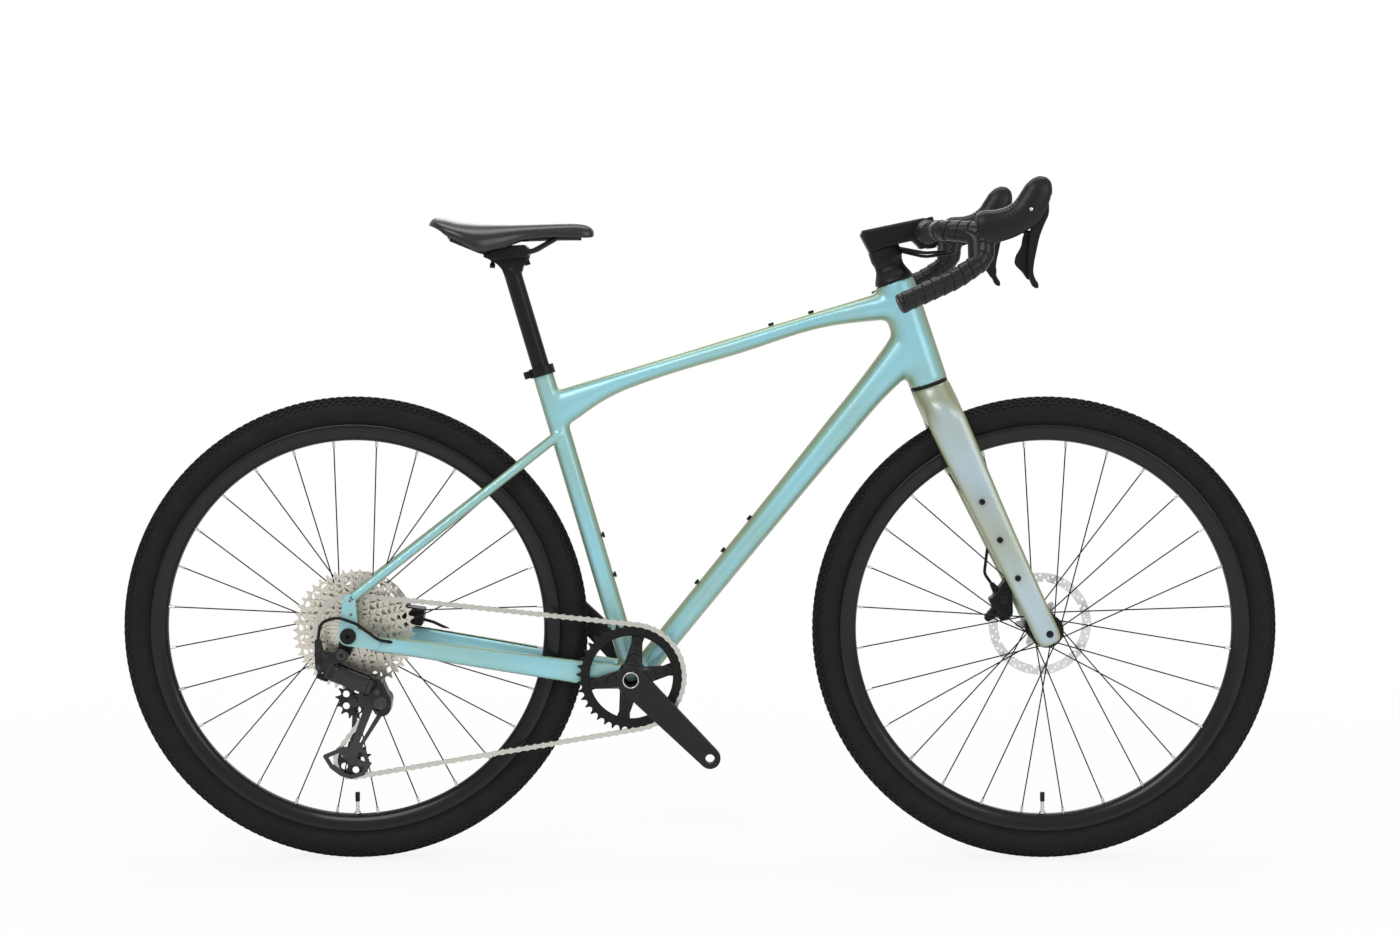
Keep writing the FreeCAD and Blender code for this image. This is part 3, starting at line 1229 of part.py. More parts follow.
def close_chain():
    """The even number of links, and the cage angle that makes the loop close."""
    total = sum(stretch[3] for stretch in drive_path(0.0))
    links = 2 * round(total / PITCH / 2)
    low, high = -16.0, 16.0
    rising = walk(drive_path(high), links)[1] > walk(drive_path(low), links)[1]
    for i in range(26):
        middle = (low + high) / 2
        if (walk(drive_path(middle), links)[1] > 0) == rising:
            high = middle
        else:
            low = middle
    angle = (low + high) / 2
    return angle, walk(drive_path(angle), links)[0]


cage_angle, chain_pins = close_chain()
drive = drive_circles(cage_angle)
tension_at, guide_at = drive[2][0], drive[3][0]


def mesh_phase(circle):
    """Angle of a tooth gap that holds a chain roller."""
    centre, radius, sense, out = circle
    gaps = [p - centre for p in chain_pins]
    best = min(gaps, key=lambda v: abs(math.hypot(v.x, v.z) - radius))
    return math.degrees(math.atan2(best.z, best.x))


def link_plate(low, high):
    """Chain plate with a waist, between pins half a pitch from the middle."""
    half = PITCH / 2
    radius = ROLLER + 0.3
    u, v = half - radius * 0.5, radius * math.sqrt(0.75)
    edges = [
        Part.Arc(side(u, v, low), side(half + radius, 0, low), side(u, -v, low)).toShape(),
        Part.Arc(side(u, -v, low), side(0, -radius * 0.68, low), side(-u, -v, low)).toShape(),
        Part.Arc(side(-u, -v, low), side(-half - radius, 0, low), side(-u, v, low)).toShape(),
        Part.Arc(side(-u, v, low), side(0, radius * 0.68, low), side(u, v, low)).toShape(),
    ]
    return Part.Face(Part.Wire(edges)).extrude(LEFT * (high - low))


def chain_links():
    half = PITCH / 2
    pin_radius = 1.8
    rollers = [disc((x, 0), ROLLER, -1.1, 1.1) for x in (-half, half)]
    inner_link = fused([link_plate(1.1, 1.8), link_plate(-1.8, -1.1)] + rollers)
    bores = [disc((x, 0), pin_radius + S.running_clearance, -4, 4) for x in (-half, half)]
    inner_link = inner_link.cut(Part.makeCompound(bores))
    pins = [disc((x, 0), pin_radius, -2.6, 2.6) for x in (-half, half)]
    outer_link = fused([link_plate(1.86, 2.5), link_plate(-2.5, -1.86)] + pins)
    solids = []
    for i, pin in enumerate(chain_pins):
        following = chain_pins[(i + 1) % len(chain_pins)]
        ahead = (following - pin).normalize()
        third = ahead.cross(LEFT).normalize()
        turn = Rotation(ahead, third.cross(ahead), third, "XYZ")
        link = (inner_link if i % 2 else outer_link).copy()
        link.Placement = Placement((pin + following) * 0.5, turn)
        solids.append(link)
    return solids


node(feature("chain", chain_links()))

# Cassette and freehub body

rear_place = wheel_place(rear_axle)
cog_phase = mesh_phase(drive[0])
sprockets = []
for index, teeth in enumerate(COGS):
    root = pitch_radius(teeth) - ROLLER
    bore = S.freehub_radius if index else 12.5
    holes = []
    web = root - 2.4 - (bore + 3.6)
    if web > 9:
        hole = min(web / 2 * 0.86, 7.4)
        middle = root - 2.4 - hole
        count = int(middle * 2 * math.pi / (hole * 2 + 3.2))
        holes = [(360.0 / count * (i + 0.3 * index), middle, hole) for i in range(count)]
        if middle - hole > bore + 14:
            spare = (middle - hole - 2.6 + bore + 3.6) / 2
            holes += [(360.0 / 9 * (i + 0.5), spare, min(6.0, (middle - hole - bore - 8) / 2)) for i in range(9)]
    sprockets.append(toothed_plate(teeth, cog_phase, cog_side(index), S.sprocket_thickness, bore, holes))
    if index:
        low = cog_side(index - 1) + S.sprocket_thickness / 2
        inner = S.freehub_radius if index > 1 else 12.5
        outer_radius = 20 if index > 1 else 16.2
        sprockets.append(ring(LEFT * low, LEFT, outer_radius, inner, S.sprocket_spacing - S.sprocket_thickness))
lock_low = cog_side(0) - S.sprocket_thickness / 2 - 1.2
lock = fused([ring(LEFT * lock_low, LEFT, 15.0, 9.6, 1.2), ring(LEFT * lock_low, LEFT, 12.5, 9.6, 4.7)])
node(feature("cassette", sprockets + [lock], rear_place))
freehub_low = cog_side(1) - S.sprocket_thickness / 2
freehub = ring(LEFT * freehub_low, LEFT, S.freehub_radius, S.sleeve_radius + 1.2, -21.0 - freehub_low)
freehub_bearings = []
for low in (freehub_low, -29.0):
    freehub = freehub.cut(Part.makeCylinder(13, 8, LEFT * low, LEFT))
    freehub_bearings.append(ring(LEFT * low, LEFT, 13, S.sleeve_radius + S.running_clearance, 8))
node(feature("freehub_body", [freehub] + freehub_bearings, rear_place))

# Crank set; the arms lie along one line through the spindle

CRANK_ANGLE = -45.0
RING_BOLTS = (56.0, 125.5, -56.0, -125.5)
bracket_plane = (bracket.x, bracket.z)


def from_bracket(angle, reach):
    point = bracket + direction(angle) * reach
    return point.x, point.z


def crank_arm(angle, low, high):
    """Arm with its pedal hole, between two distances from the middle plane."""
    eye = from_bracket(angle, S.crank_length)
    arm_body = hull(bracket_plane, 22.5, eye, 16.6, low, high)
    return arm_body.cut(disc(eye, S.pedal_hole_radius, -200, 200))


ring_face = S.chainring_side + 1.2
arm_inner = S.crank_side - 13.5
right_arm = crank_arm(CRANK_ANGLE, -S.crank_side, -arm_inner)
right_boss = disc(bracket_plane, 20, -arm_inner - 1, -ring_face)
spindle_end = S.crank_side - 4
spindle = rod(bracket - LEFT * (arm_inner + 2), bracket + LEFT * spindle_end, S.spindle_radius)
spider, ring_tabs, ring_bolts = [], [], []
for turn in RING_BOLTS:
    seat = from_bracket(CRANK_ANGLE + turn, S.bolt_circle / 2)
    spider.append(hull(bracket_plane, 15, seat, 8.5, -ring_face - 7, -ring_face))
    root = from_bracket(CRANK_ANGLE + turn, 70)
    ring_tabs.append(hull(seat, 8.5, root, 11, ring_y - 1.2, ring_y + 1.2))
    ring_bolts.append(disc(seat, 4.9, -ring_face - 8.2, ring_y + 2.4))
right_arm = fused([right_arm, right_boss] + spider).cut(spindle)
spindle_bore = rod(bracket - LEFT * 100, bracket + LEFT * 100, S.spindle_radius - 3)
bolt_bores = Part.makeCompound(ring_bolts)
right_arm = right_arm.cut(spindle_bore).cut(bolt_bores)
trim = ring(bracket - LEFT * (S.crank_side + 1.4), LEFT, 13.6, S.spindle_radius - 3, 1.4)
node(feature("crank_arm_right", [right_arm, spindle.cut(spindle_bore), trim]))
left_arm = crank_arm(CRANK_ANGLE + 180, arm_inner, S.crank_side)
left_boss = ring(bracket + LEFT * (S.shell_width / 2 + 10.5), LEFT, 20, S.spindle_radius, 25)
left_arm = fused([left_arm, left_boss]).cut(rod(bracket, bracket + LEFT * spindle_end, S.spindle_radius))
node(feature("crank_arm_left", left_arm))

ring_centre = wheel_place(bracket)
ring_phase = mesh_phase(drive[1])
ring_plate = toothed_plate(S.chainring_teeth, ring_phase, ring_y, 1.4, 63.5, [])
ring_plate.Placement = ring_centre
outside = disc(bracket_plane, 74, ring_y - 20, ring_y + 20)
tabs_inside = [tab.common(outside) for tab in ring_tabs]
chainring = fused([ring_plate] + tabs_inside).cut(bolt_bores)
node(feature("chainring", [max(chainring.Solids, key=lambda piece: piece.Volume)] + ring_bolts))

# Rear gear: hanger, bracket, two links, knuckle, cage and pulleys

hanger_bolt = (rear_axle.x - 7.5, rear_axle.z - 25)
hanger_in, hanger_out = -hub_end, -hub_end - hanger_depth
axle_plane = (rear_axle.x, rear_axle.z)
hanger = hull(axle_plane, 13, hanger_bolt, 10.5, hanger_out, hanger_in)
hanger = hanger.cut(disc(axle_plane, S.axle_radius, -100, -50)).cut(disc(hanger_bolt, 5, -100, -50))
rear_axle_solids = through_axle(rear_axle, -hub_end - 15, hub_end + 11, -hub_end, hub_end, 12)
node(feature("rear_axle_and_hanger", rear_axle_solids + [hanger]))

mech_foot = Vector(rear_axle.x - 31, -76, rear_axle.z - 52)
mech_place = Placement(mech_foot, Rotation(LEFT, S.mech_tilt))
half_spread = S.mech_spread / 2
LINK_HALF = 12.5
LUG_HIGH = 16.5
lug_gap = LINK_HALF + 0.4


def in_mech(shape):
    """Move a piece drawn in the plane of the shifting links to its place."""
    moved = shape.copy()
    moved.Placement = mech_place.multiply(shape.Placement)
    return moved


def mech_lugs(at, wall_side):
    """Two lugs with both pins, and the wall that joins them away from the links."""
    pieces = []
    for low, high in ((lug_gap, LUG_HIGH), (-LUG_HIGH, -lug_gap)):
        pieces.append(hull((at, -half_spread), 6.2, (at, half_spread), 6.2, low, high, flat))
        near, far = sorted((at, at + wall_side * 13))
        pieces.append(Part.makeBox(far - near, S.mech_spread + 12.4, high - low,
                                   Vector(near, -half_spread - 6.2, low)))
    near, far = sorted((at + wall_side * 8.5, at + wall_side * 13))
    pieces.append(Part.makeBox(far - near, S.mech_spread + 12.4, LUG_HIGH * 2,
                               Vector(near, -half_spread - 6.2, -LUG_HIGH)))
    for y in (-half_spread, half_spread):
        pieces.append(disc((at, y), S.mech_pin_radius, -LUG_HIGH, LUG_HIGH, flat))
    return in_mech(fused(pieces))


def mech_link(y, radius, cover):
    """Link with an eye at each end; the outer one carries a cover plate."""
    pieces = [hull((0, y), radius, (S.mech_length, y), radius, -LINK_HALF, LINK_HALF, flat)]
    if cover:
        pieces.append(hull((9, y - radius), 3.5, (S.mech_length - 6, y - radius), 3.5, -LINK_HALF, LINK_HALF, flat))
    body = fused(pieces) if cover else pieces[0]
    for x in (0, S.mech_length):
        body = body.cut(disc((x, y), S.mech_pin_radius + S.running_clearance, -30, 30, flat))
    return in_mech(body)


bracket_wall = mech_place.multVec(Vector(-10.5, 0, 6))
gear_body = hull(hanger_bolt, 10.5, (bracket_wall.x, bracket_wall.z), 8.5, -91, hanger_out - 0.5)
stop_arm = hull((bracket_wall.x - 1, bracket_wall.z), 7, (rear_axle.x - 46, rear_axle.z - 9), 5.5, -86, -78)
gear_bolt = fused([disc(hanger_bolt, 5, -91, hanger_in), disc(hanger_bolt, 8.2, -95, -91)])
gear_bolt = gear_bolt.cut(disc(hanger_bolt, 3, -96, -92))
frame_lugs = mech_lugs(0, -1)
gear_bracket = fused([gear_body.cut(disc(hanger_bolt, 5, -100, -50)), stop_arm, frame_lugs])
keep_clear = in_mech(slab([(-8, -40), (50, -40), (50, 40), (-8, 40)], -lug_gap, lug_gap, flat))
pins_again = [in_mech(disc((0, y), S.mech_pin_radius, -LUG_HIGH, LUG_HIGH, flat))
              for y in (-half_spread, half_spread)]
gear_bracket = fused([gear_bracket.cut(keep_clear)] + pins_again)
node(feature("derailleur_bracket", [gear_bracket, gear_bolt]))
node(feature("derailleur_outer_link", mech_link(-half_spread, 5.6, True)))
node(feature("derailleur_inner_link", mech_link(half_spread, 5.0, False)))

cage_plane = (cage_pivot.x, cage_pivot.z)
knuckle_wall = mech_place.multVec(Vector(S.mech_length + 11, 0, -4))
cage_outer = cog_y - 5.2
knuckle = fused([mech_lugs(S.mech_length, 1), disc(cage_plane, 17.5, -84, cage_outer - 2.4),
                 hull((knuckle_wall.x, knuckle_wall.z), 9, cage_plane, 14, -88, -60)])
knuckle_clear = in_mech(slab([(20, -40), (S.mech_length + 8, -40), (S.mech_length + 8, 40), (20, 40)],
                             -lug_gap, lug_gap, flat))
knuckle_pins = [in_mech(disc((S.mech_length, y), S.mech_pin_radius, -LUG_HIGH, LUG_HIGH, flat))
                for y in (-half_spread, half_spread)]
knuckle = fused([knuckle.cut(knuckle_clear)] + knuckle_pins)
cage_shaft_hole = disc(cage_plane, 5 + S.running_clearance, -80, -30)
knuckle = knuckle.cut(cage_shaft_hole)
node(feature("derailleur_knuckle", max(knuckle.Solids, key=lambda piece: piece.Volume)))

guide_plane, tension_plane = (guide_at.x, guide_at.z), (tension_at.x, tension_at.z)
outer_low, outer_high = cage_outer - 2.0, cage_outer
inner_low, inner_high = cog_y + 5.2, cog_y + 7.0
outer_plate = fused([hull(cage_plane, 17, guide_plane, 12, outer_low, outer_high),
                     hull(cage_plane, 15, tension_plane, 12, outer_low, outer_high),
                     hull(tension_plane, 15, (tension_plane[0] - 24, tension_plane[1] + 6), 5, outer_low, outer_high),
                     disc(tension_plane, 21, outer_low, outer_high)])
window = hull((cage_plane[0] - 21, cage_plane[1] - 24), 6, (tension_plane[0] + 16, tension_plane[1] + 34), 3,
              outer_low - 1, outer_high + 1)
inner_plate = hull(guide_plane, 12, tension_plane, 13, inner_low, inner_high)
pulley_bolts = [disc(p, 4, outer_low - 1.4, inner_high + 1) for p in (guide_plane, tension_plane)]
cage_shaft = disc(cage_plane, 5, -79, outer_high)
cage = fused([outer_plate.cut(window), inner_plate, cage_shaft] + pulley_bolts)
node(feature("derailleur_cage", cage))


def pulley(circle):
    """Pulley with rounded cut-outs, running on its bolt."""
    holes = [(72 * i, 15.5, 5.2) for i in range(5)]
    plate = toothed_plate(S.pulley_teeth, mesh_phase(circle), cog_y, 1.8, 4 + S.running_clearance, holes)
    plate.Placement = wheel_place(circle[0])
    hub = ring(circle[0] + LEFT * (cog_y - 4), LEFT, 8, 4 + S.running_clearance, 8)
    return fused([plate, hub])


node(feature("guide_pulley", pulley(drive[3])))
node(feature("tension_pulley", pulley(drive[2])))

# Shift housing leaves the right chainstay and loops up to the cable stop

stop = Vector(rear_axle.x - 46, -82, rear_axle.z - 4)
housing_points = [shifted(-458, 345) + LEFT * -70, shifted(-484, 353) + LEFT * -92.5,
                  rear_axle + Vector(14, -95, 20), rear_axle + Vector(-14, -95, 30),
                  rear_axle + Vector(-41, -90, 22), stop]
housing = pipe(rounded_path(housing_points, [24, 24, 24, 20]), S.hose_radius)
housing = housing.cut(mirrored(left_stay_solid)).cut(gear_bracket)
housing = max(housing.Solids, key=lambda piece: piece.Volume)
node(feature("rear_cables", [housing, rear_hose]))

# Check everything, then write one file for each piece

doc.recompute()
for obj in doc.Objects:
    if "Invalid" in obj.State or "Error" in obj.State:
        raise RuntimeError(f"{obj.Label} failed to build: {obj.State}")
for obj in NODES:
    shape = obj.Shape
    if shape.isNull() or not shape.isValid() or not shape.Solids:
        raise RuntimeError(f"{obj.Label} has no valid solid")
os.makedirs("parts", exist_ok=True)
for obj in NODES:
    obj.Shape.exportStep(f"parts/{obj.Label}.step")
print(len(NODES), "pieces written; chain links:", len(chain_pins), "cage angle:", round(cage_angle, 3))
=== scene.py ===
"""Finishes and softer forms of a gravel bike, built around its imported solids."""

import json
import math

import bmesh
import bpy
import numpy as np
from bpy.props import FloatProperty, FloatVectorProperty, IntProperty, PointerProperty
from mathutils import Matrix, Vector


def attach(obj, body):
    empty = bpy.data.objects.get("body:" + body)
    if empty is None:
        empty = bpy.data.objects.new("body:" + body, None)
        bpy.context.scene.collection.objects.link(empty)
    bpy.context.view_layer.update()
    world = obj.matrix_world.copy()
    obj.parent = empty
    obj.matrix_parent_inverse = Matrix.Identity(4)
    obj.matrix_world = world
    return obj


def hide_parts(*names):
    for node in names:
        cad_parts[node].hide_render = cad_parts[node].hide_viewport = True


bl_info = {
    "name": "Gravel bike finishes",
    "version": (1, 0, 0),
    "blender": (4, 5, 0),
    "location": "View3D > Sidebar > Bike",
    "description": "Dresses the packed solids of a gravel bike",
    "category": "Object",
}

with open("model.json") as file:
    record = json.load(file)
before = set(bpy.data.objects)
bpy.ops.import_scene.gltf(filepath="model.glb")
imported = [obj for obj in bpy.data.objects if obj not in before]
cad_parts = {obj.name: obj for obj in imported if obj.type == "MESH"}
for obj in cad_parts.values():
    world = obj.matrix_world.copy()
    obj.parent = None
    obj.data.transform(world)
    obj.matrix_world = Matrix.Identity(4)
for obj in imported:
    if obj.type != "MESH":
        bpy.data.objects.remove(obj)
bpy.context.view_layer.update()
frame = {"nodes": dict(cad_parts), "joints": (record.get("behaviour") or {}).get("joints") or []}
JOINTS = {joint["name"]: joint for joint in frame["joints"]}

# Main points and directions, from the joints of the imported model

MM = 0.001
AHEAD = Vector((1, 0, 0))
LEFT = Vector((0, 1, 0))
RIGHT = -LEFT
UP = Vector((0, 0, 1))


def mm(x, y, z):
    """Vector from three lengths in millimetres."""
    return Vector((x, y, z)) * MM


def joint_point(name):
    return Vector(JOINTS[name]["pos_m"])


def slope(angle):
    """Direction in the side view, in degrees from straight ahead."""
    return Vector((math.cos(math.radians(angle)), 0, math.sin(math.radians(angle))))


def pair(point, ahead=0.0, above=0.0):
    """Side-view place near a point, in millimetres."""
    return point.x / MM + ahead, point.z / MM + above


REAR = joint_point("rear_wheel_spin")
FRONT = joint_point("front_wheel_spin")
WHEELS = {"front": FRONT, "rear": REAR}
BRACKET = joint_point("crank_spin")
CROWN = joint_point("steering")
STEER_UP = Vector(JOINTS["steering"]["axis"]).normalized()
STEER_AHEAD = Vector((STEER_UP.z, 0, -STEER_UP.x))
SEAT_UP = Vector(JOINTS["seat_height"]["axis"]).normalized()


def on_steerer(ahead, height):
    """Point ahead of the steering axis and above the fork crown, in millimetres."""
    return CROWN + (STEER_AHEAD * ahead + STEER_UP * height) * MM


LEG_TOP = on_steerer(4, -20)
LEG_DOWN = (FRONT - LEG_TOP).normalized()
LEG_SQUARE = LEG_DOWN.cross(LEFT).normalized()

STEM_MIDDLE = 238
STEM_LENGTH = 70
STEM_DROP = math.radians(11.7)
STEM_ALONG = STEER_AHEAD * math.cos(STEM_DROP) - STEER_UP * math.sin(STEM_DROP)
BAR = on_steerer(0, STEM_MIDDLE) + STEM_ALONG * STEM_LENGTH * MM
HOOD_SIDE = -216.0
DROP_SIDE = HOOD_SIDE - 20


def bar_point(ahead, above, to_left):
    """Point of the handlebar from the middle of its clamp, in millimetres."""
    return BAR + mm(ahead, to_left, above)


def hood_point(ahead, above, out=0.0):
    """Point of the right hood; out is away from the bike, in millimetres."""
    return bar_point(60 + ahead, 1 + above, HOOD_SIDE - out)


HOOD = hood_point(0, 0)


# Settings

def colour(name, description, default):
    return FloatVectorProperty(name=name, description=description, subtype="COLOR", size=3, min=0, max=1,
                               default=default)


def length(name, description, default):
    return FloatProperty(name=name, description=description, default=default, unit="LENGTH", min=0)


class PaintSettings(bpy.types.PropertyGroup):
    """Colours of the two painted pieces; the turn and edge shades are darker partly as painted shade and
    partly as the paint's own shift to olive.
    """
    frame_face: colour("Frame face", "Paint on faces that look sideways", (0.26, 0.56, 0.63))
    frame_turn: colour("Frame turn", "Paint where the tubes curve away", (0.27, 0.45, 0.37))
    frame_edge: colour("Frame edge", "Paint on faces that look up, down or ahead", (0.21, 0.28, 0.13))
    frame_cloud: colour("Frame cloud", "Greener patches of the frame", (0.30, 0.52, 0.47))
    fork_face: colour("Fork face", "Pearl on faces that look sideways", (0.41, 0.52, 0.56))
    fork_turn: colour("Fork turn", "Pearl where the legs curve away", (0.37, 0.42, 0.33))
    fork_edge: colour("Fork edge", "Pearl on faces that look ahead or back", (0.26, 0.29, 0.15))
    fork_cloud: colour("Fork cloud", "Olive patches of the fork", (0.40, 0.44, 0.34))


class ShapeSettings(bpy.types.PropertyGroup):
    """Sizes of the forms that are made here."""
    weld_voxel: length("Weld voxel", "Mesh size of the frame", 0.0024)
    knob_rows: IntProperty(name="Tread pitches", description="Groups of knobs around a tyre", default=96,
                           min=12)
    knob_height: length("Knob height", "Tread knobs above the tyre", 0.0022)
    tape_pitch: length("Tape pitch", "Advance of one turn of bar tape", 0.0155)
    tape_step: length("Tape step", "Height of the overlap of the bar tape", 0.0013)


class StageSettings(bpy.types.PropertyGroup):
    """Floor, light and camera."""
    floor: colour("Floor", "Plain pale floor", (0.86, 0.86, 0.86))
    camera_distance: length("Camera distance", "From the middle plane of the bike", 3.6)
    camera_height: length("Camera height", "Above the floor", 0.913)
    aim_height: length("Aim height", "Height of the picture's middle", 0.608)
    view_width: length("View width", "Width of the picture at the bike", 2.153)
    view_shift: FloatProperty(name="View shift", default=0.06,
                              description="Share of the width that the picture is moved down")


# Materials

class Value:
    """A socket of a node tree; arithmetic on it adds Math nodes."""

    def __init__(self, nodes, socket):
        self.nodes = nodes
        self.socket = socket

    def math(self, operation, first, second=0.0):
        return self.nodes.node("ShaderNodeMath", {"operation": operation}, {0: first, 1: second})

    def __add__(self, other):
        return self.math("ADD", self, other)

    def __radd__(self, other):
        return self.math("ADD", other, self)

    def __sub__(self, other):
        return self.math("SUBTRACT", self, other)

    def __rsub__(self, other):
        return self.math("SUBTRACT", other, self)

    def __mul__(self, other):
        return self.math("MULTIPLY", self, other)

    def __rmul__(self, other):
        return self.math("MULTIPLY", other, self)

    def __abs__(self):
        return self.math("ABSOLUTE", self)


class Nodes:
    """A node tree, filled through one method."""

    def __init__(self, tree):
        self.tree = tree

    def feed(self, socket, value):
        if isinstance(value, Value):
            self.tree.links.new(value.socket, socket)
        else:
            socket.default_value = value

    def node(self, kind, settings=None, sockets=None, output=0):
        """Add a node: first its settings, then the values or links of its sockets."""
        added = self.tree.nodes.new(kind)
        for name, value in (settings or {}).items():
            if name == "stops":
                ramp = added.color_ramp.elements
                while len(ramp) < len(value):
                    ramp.new(0.5)
                for element, (position, shade) in zip(ramp, value):
                    element.position = position
                    element.color = (*shade, 1)
            else:
                setattr(added, name, value)
        for key, value in (sockets or {}).items():
            self.feed(added.inputs[key], value)
        return Value(self, added.outputs[output])


FINISHES = {}


class Finish(Nodes):
    """A material in the making: one Principled shader and what feeds it."""

    def __init__(self, name, **constants):
        material = bpy.data.materials.new(name)
        material.use_nodes = True
        super().__init__(material.node_tree)
        self.shader = self.tree.nodes["Principled BSDF"]
        for socket, value in constants.items():
            self.set(socket.replace("_", " "), value)
        FINISHES[name] = material

    def set(self, socket, value):
        self.feed(self.shader.inputs[socket], value)

    def place(self):
        return self.node("ShaderNodeTexCoord", output="Object")

    def noise(self, scale, detail):
        sockets = {"Vector": self.place(), "Scale": scale, "Detail": detail}
        return self.node("ShaderNodeTexNoise", None, sockets, "Fac")

    def step(self, value, low, high):
        """0 below low, 1 above high, straight between."""
        sockets = {"Value": value, "From Min": low, "From Max": high}
        return self.node("ShaderNodeMapRange", {"clamp": True}, sockets, "Result")

    def mix(self, factor, first, second):
        """Colour between two, which are sockets or plain shades."""
        shades = [shade if isinstance(shade, Value) else (*shade, 1) for shade in (first, second)]
        return self.node("ShaderNodeMix", {"data_type": "RGBA"}, {0: factor, 6: shades[0], 7: shades[1]}, 2)

    def vector(self, operation, first, second=(0, 0, 0), output="Vector"):
        return self.node("ShaderNodeVectorMath", {"operation": operation}, {0: first, 1: second}, output)

    def reach_from(self, axle):
        """Distance from the axis of a wheel."""
        across = self.vector("MULTIPLY", self.vector("SUBTRACT", self.place(), axle), (1, 0, 1))
        return self.vector("LENGTH", across, output="Value")

    def bump(self, height, depth, edge=0.0):
        """Surface relief; edge rounds the corners of crisp solids."""
        sockets = {"Height": height, "Strength": 1.0, "Distance": depth}
        if edge:
            sockets["Normal"] = self.node("ShaderNodeBevel", {"samples": 4}, {"Radius": edge}, "Normal")
        self.set("Normal", self.node("ShaderNodeBump", None, sockets, "Normal"))


def scaled(shade, factor, lift=0.0):
    return tuple(min(1.0, part * factor + lift) for part in shade)


def paint(name, bands, face, turn, edge, cloud):
    """Two-tone paint: its colour turns with the face's own direction on the piece, in soft patches. Towards
    faces that turn away it darkens to olive, partly the paint's own shift and partly painted shade. Faces
    that look straight sideways get a painted highlight.
    """
    finish = Finish(name, Metallic=0.25, Coat_Weight=0.55, Coat_Roughness=0.08)
    normal = finish.node("ShaderNodeTexCoord", output="Normal")
    sideways = abs(finish.node("ShaderNodeSeparateXYZ", None, {0: normal}, "Y"))
    flow = sideways + (finish.noise(9.0, 1.0) - 0.5) * 0.16
    # the sideways end is a lighter copy of the face shade, a painted highlight; the turn and edge ends are
    # darker with painted shade as well as the paint's own olive shift
    stops = list(zip(bands, (edge, turn, face, scaled(face, 1.12))))
    turned = finish.node("ShaderNodeValToRGB", {"stops": stops}, {"Fac": flow}, "Color")
    patch = finish.step(finish.noise(5.5, 1.0), 0.46, 0.66) * finish.step(sideways, 0.6, 0.9) * 0.75
    shade = finish.mix(patch, turned, cloud)
    flake = finish.noise(2600.0, 0.0)
    finish.set("Base Color", finish.mix(finish.step(flake, 0.55, 0.8) * 0.12, shade, (0.9, 0.95, 0.95)))
    finish.set("Roughness", 0.30 + flake * 0.10)
    finish.bump(finish.noise(900.0, 2.0), 0.00002)


def rubber(name, shade, rough, grain, depth, sheen=0.16):
    """Dull rubber with a fine moulded grain and a little dust."""
    finish = Finish(name, Specular_IOR_Level=sheen)
    dust = finish.noise(38.0, 4.0)
    finish.set("Base Color", finish.mix(finish.step(dust, 0.45, 0.75) * 0.35, shade, scaled(shade, 1.7)))
    finish.set("Roughness", rough - dust * 0.12)
    cells = finish.node("ShaderNodeTexVoronoi", None, {"Vector": finish.place(), "Scale": grain}, "Distance")
    finish.bump(cells, depth)


def coated(name, shade, rough, metallic=0.0, grain=1800.0, edge=0.0004, coat=0.0):
    """Satin coating or anodised metal with a fine grain and softened corners."""
    finish = Finish(name, Metallic=metallic, Specular_IOR_Level=0.24, Coat_Weight=coat)
    grit = finish.noise(grain, 2.0)
    tone = finish.noise(14.0, 2.0)
    finish.set("Base Color", finish.mix(tone * 0.3, shade, scaled(shade, 1.35, 0.002)))
    finish.set("Roughness", rough + (grit - 0.5) * 0.12)
    finish.bump(grit, 0.00002, edge)


def two_metals(name, axle, border, inside, outside):
    """One finish near the wheel's axle and another beyond the border; each is shade, roughness and metal."""
    finish = Finish(name, Specular_IOR_Level=0.24)
    far = finish.step(finish.reach_from(axle), border - 0.0003, border + 0.0003)
    grit = finish.noise(1200.0, 2.0)
    finish.set("Base Color", finish.mix(far, inside[0], outside[0]))
    finish.set("Roughness", inside[1] + far * (outside[1] - inside[1]) + (grit - 0.5) * 0.1)
    finish.set("Metallic", inside[2] + far * (outside[2] - inside[2]))


def turned_steel(name, shade, rough, axle):
    """Bright metal with fine rings around an axle."""
    finish = Finish(name, Metallic=1.0)
    sockets = {"W": finish.reach_from(axle) * 2400.0, "Scale": 1.0}
    rings = finish.node("ShaderNodeTexNoise", {"noise_dimensions": "1D"}, sockets, "Fac")
    stain = finish.noise(60.0, 3.0)
    finish.set("Base Color", finish.mix(stain * 0.35, shade, scaled(shade, 0.72)))
    finish.set("Roughness", rough + (rings - 0.5) * 0.14)
    finish.bump(rings, 0.00002, 0.0003)


# shade, roughness and metal
SPOKE = ((0.008, 0.008, 0.008), 0.34, 0.3)
CAP = ((0.010, 0.010, 0.010), 0.45, 0.0)
STEEL = ((0.70, 0.70, 0.69), 0.25, 1.0)

# from the axle to the nipples and to the end of the valve's cap, in metres
NIPPLES_AT = 0.2812
CAP_END_AT = 0.2712

# where the paint changes: share of the face's direction that points sideways; the lower bands darken with
# painted shade as well as the paint's own shift, and the top band adds a painted highlight
BANDS = {"frame_paint": (0.38, 0.70, 0.92, 1.0), "fork_pearl": (0.66, 0.88, 0.97, 1.0)}


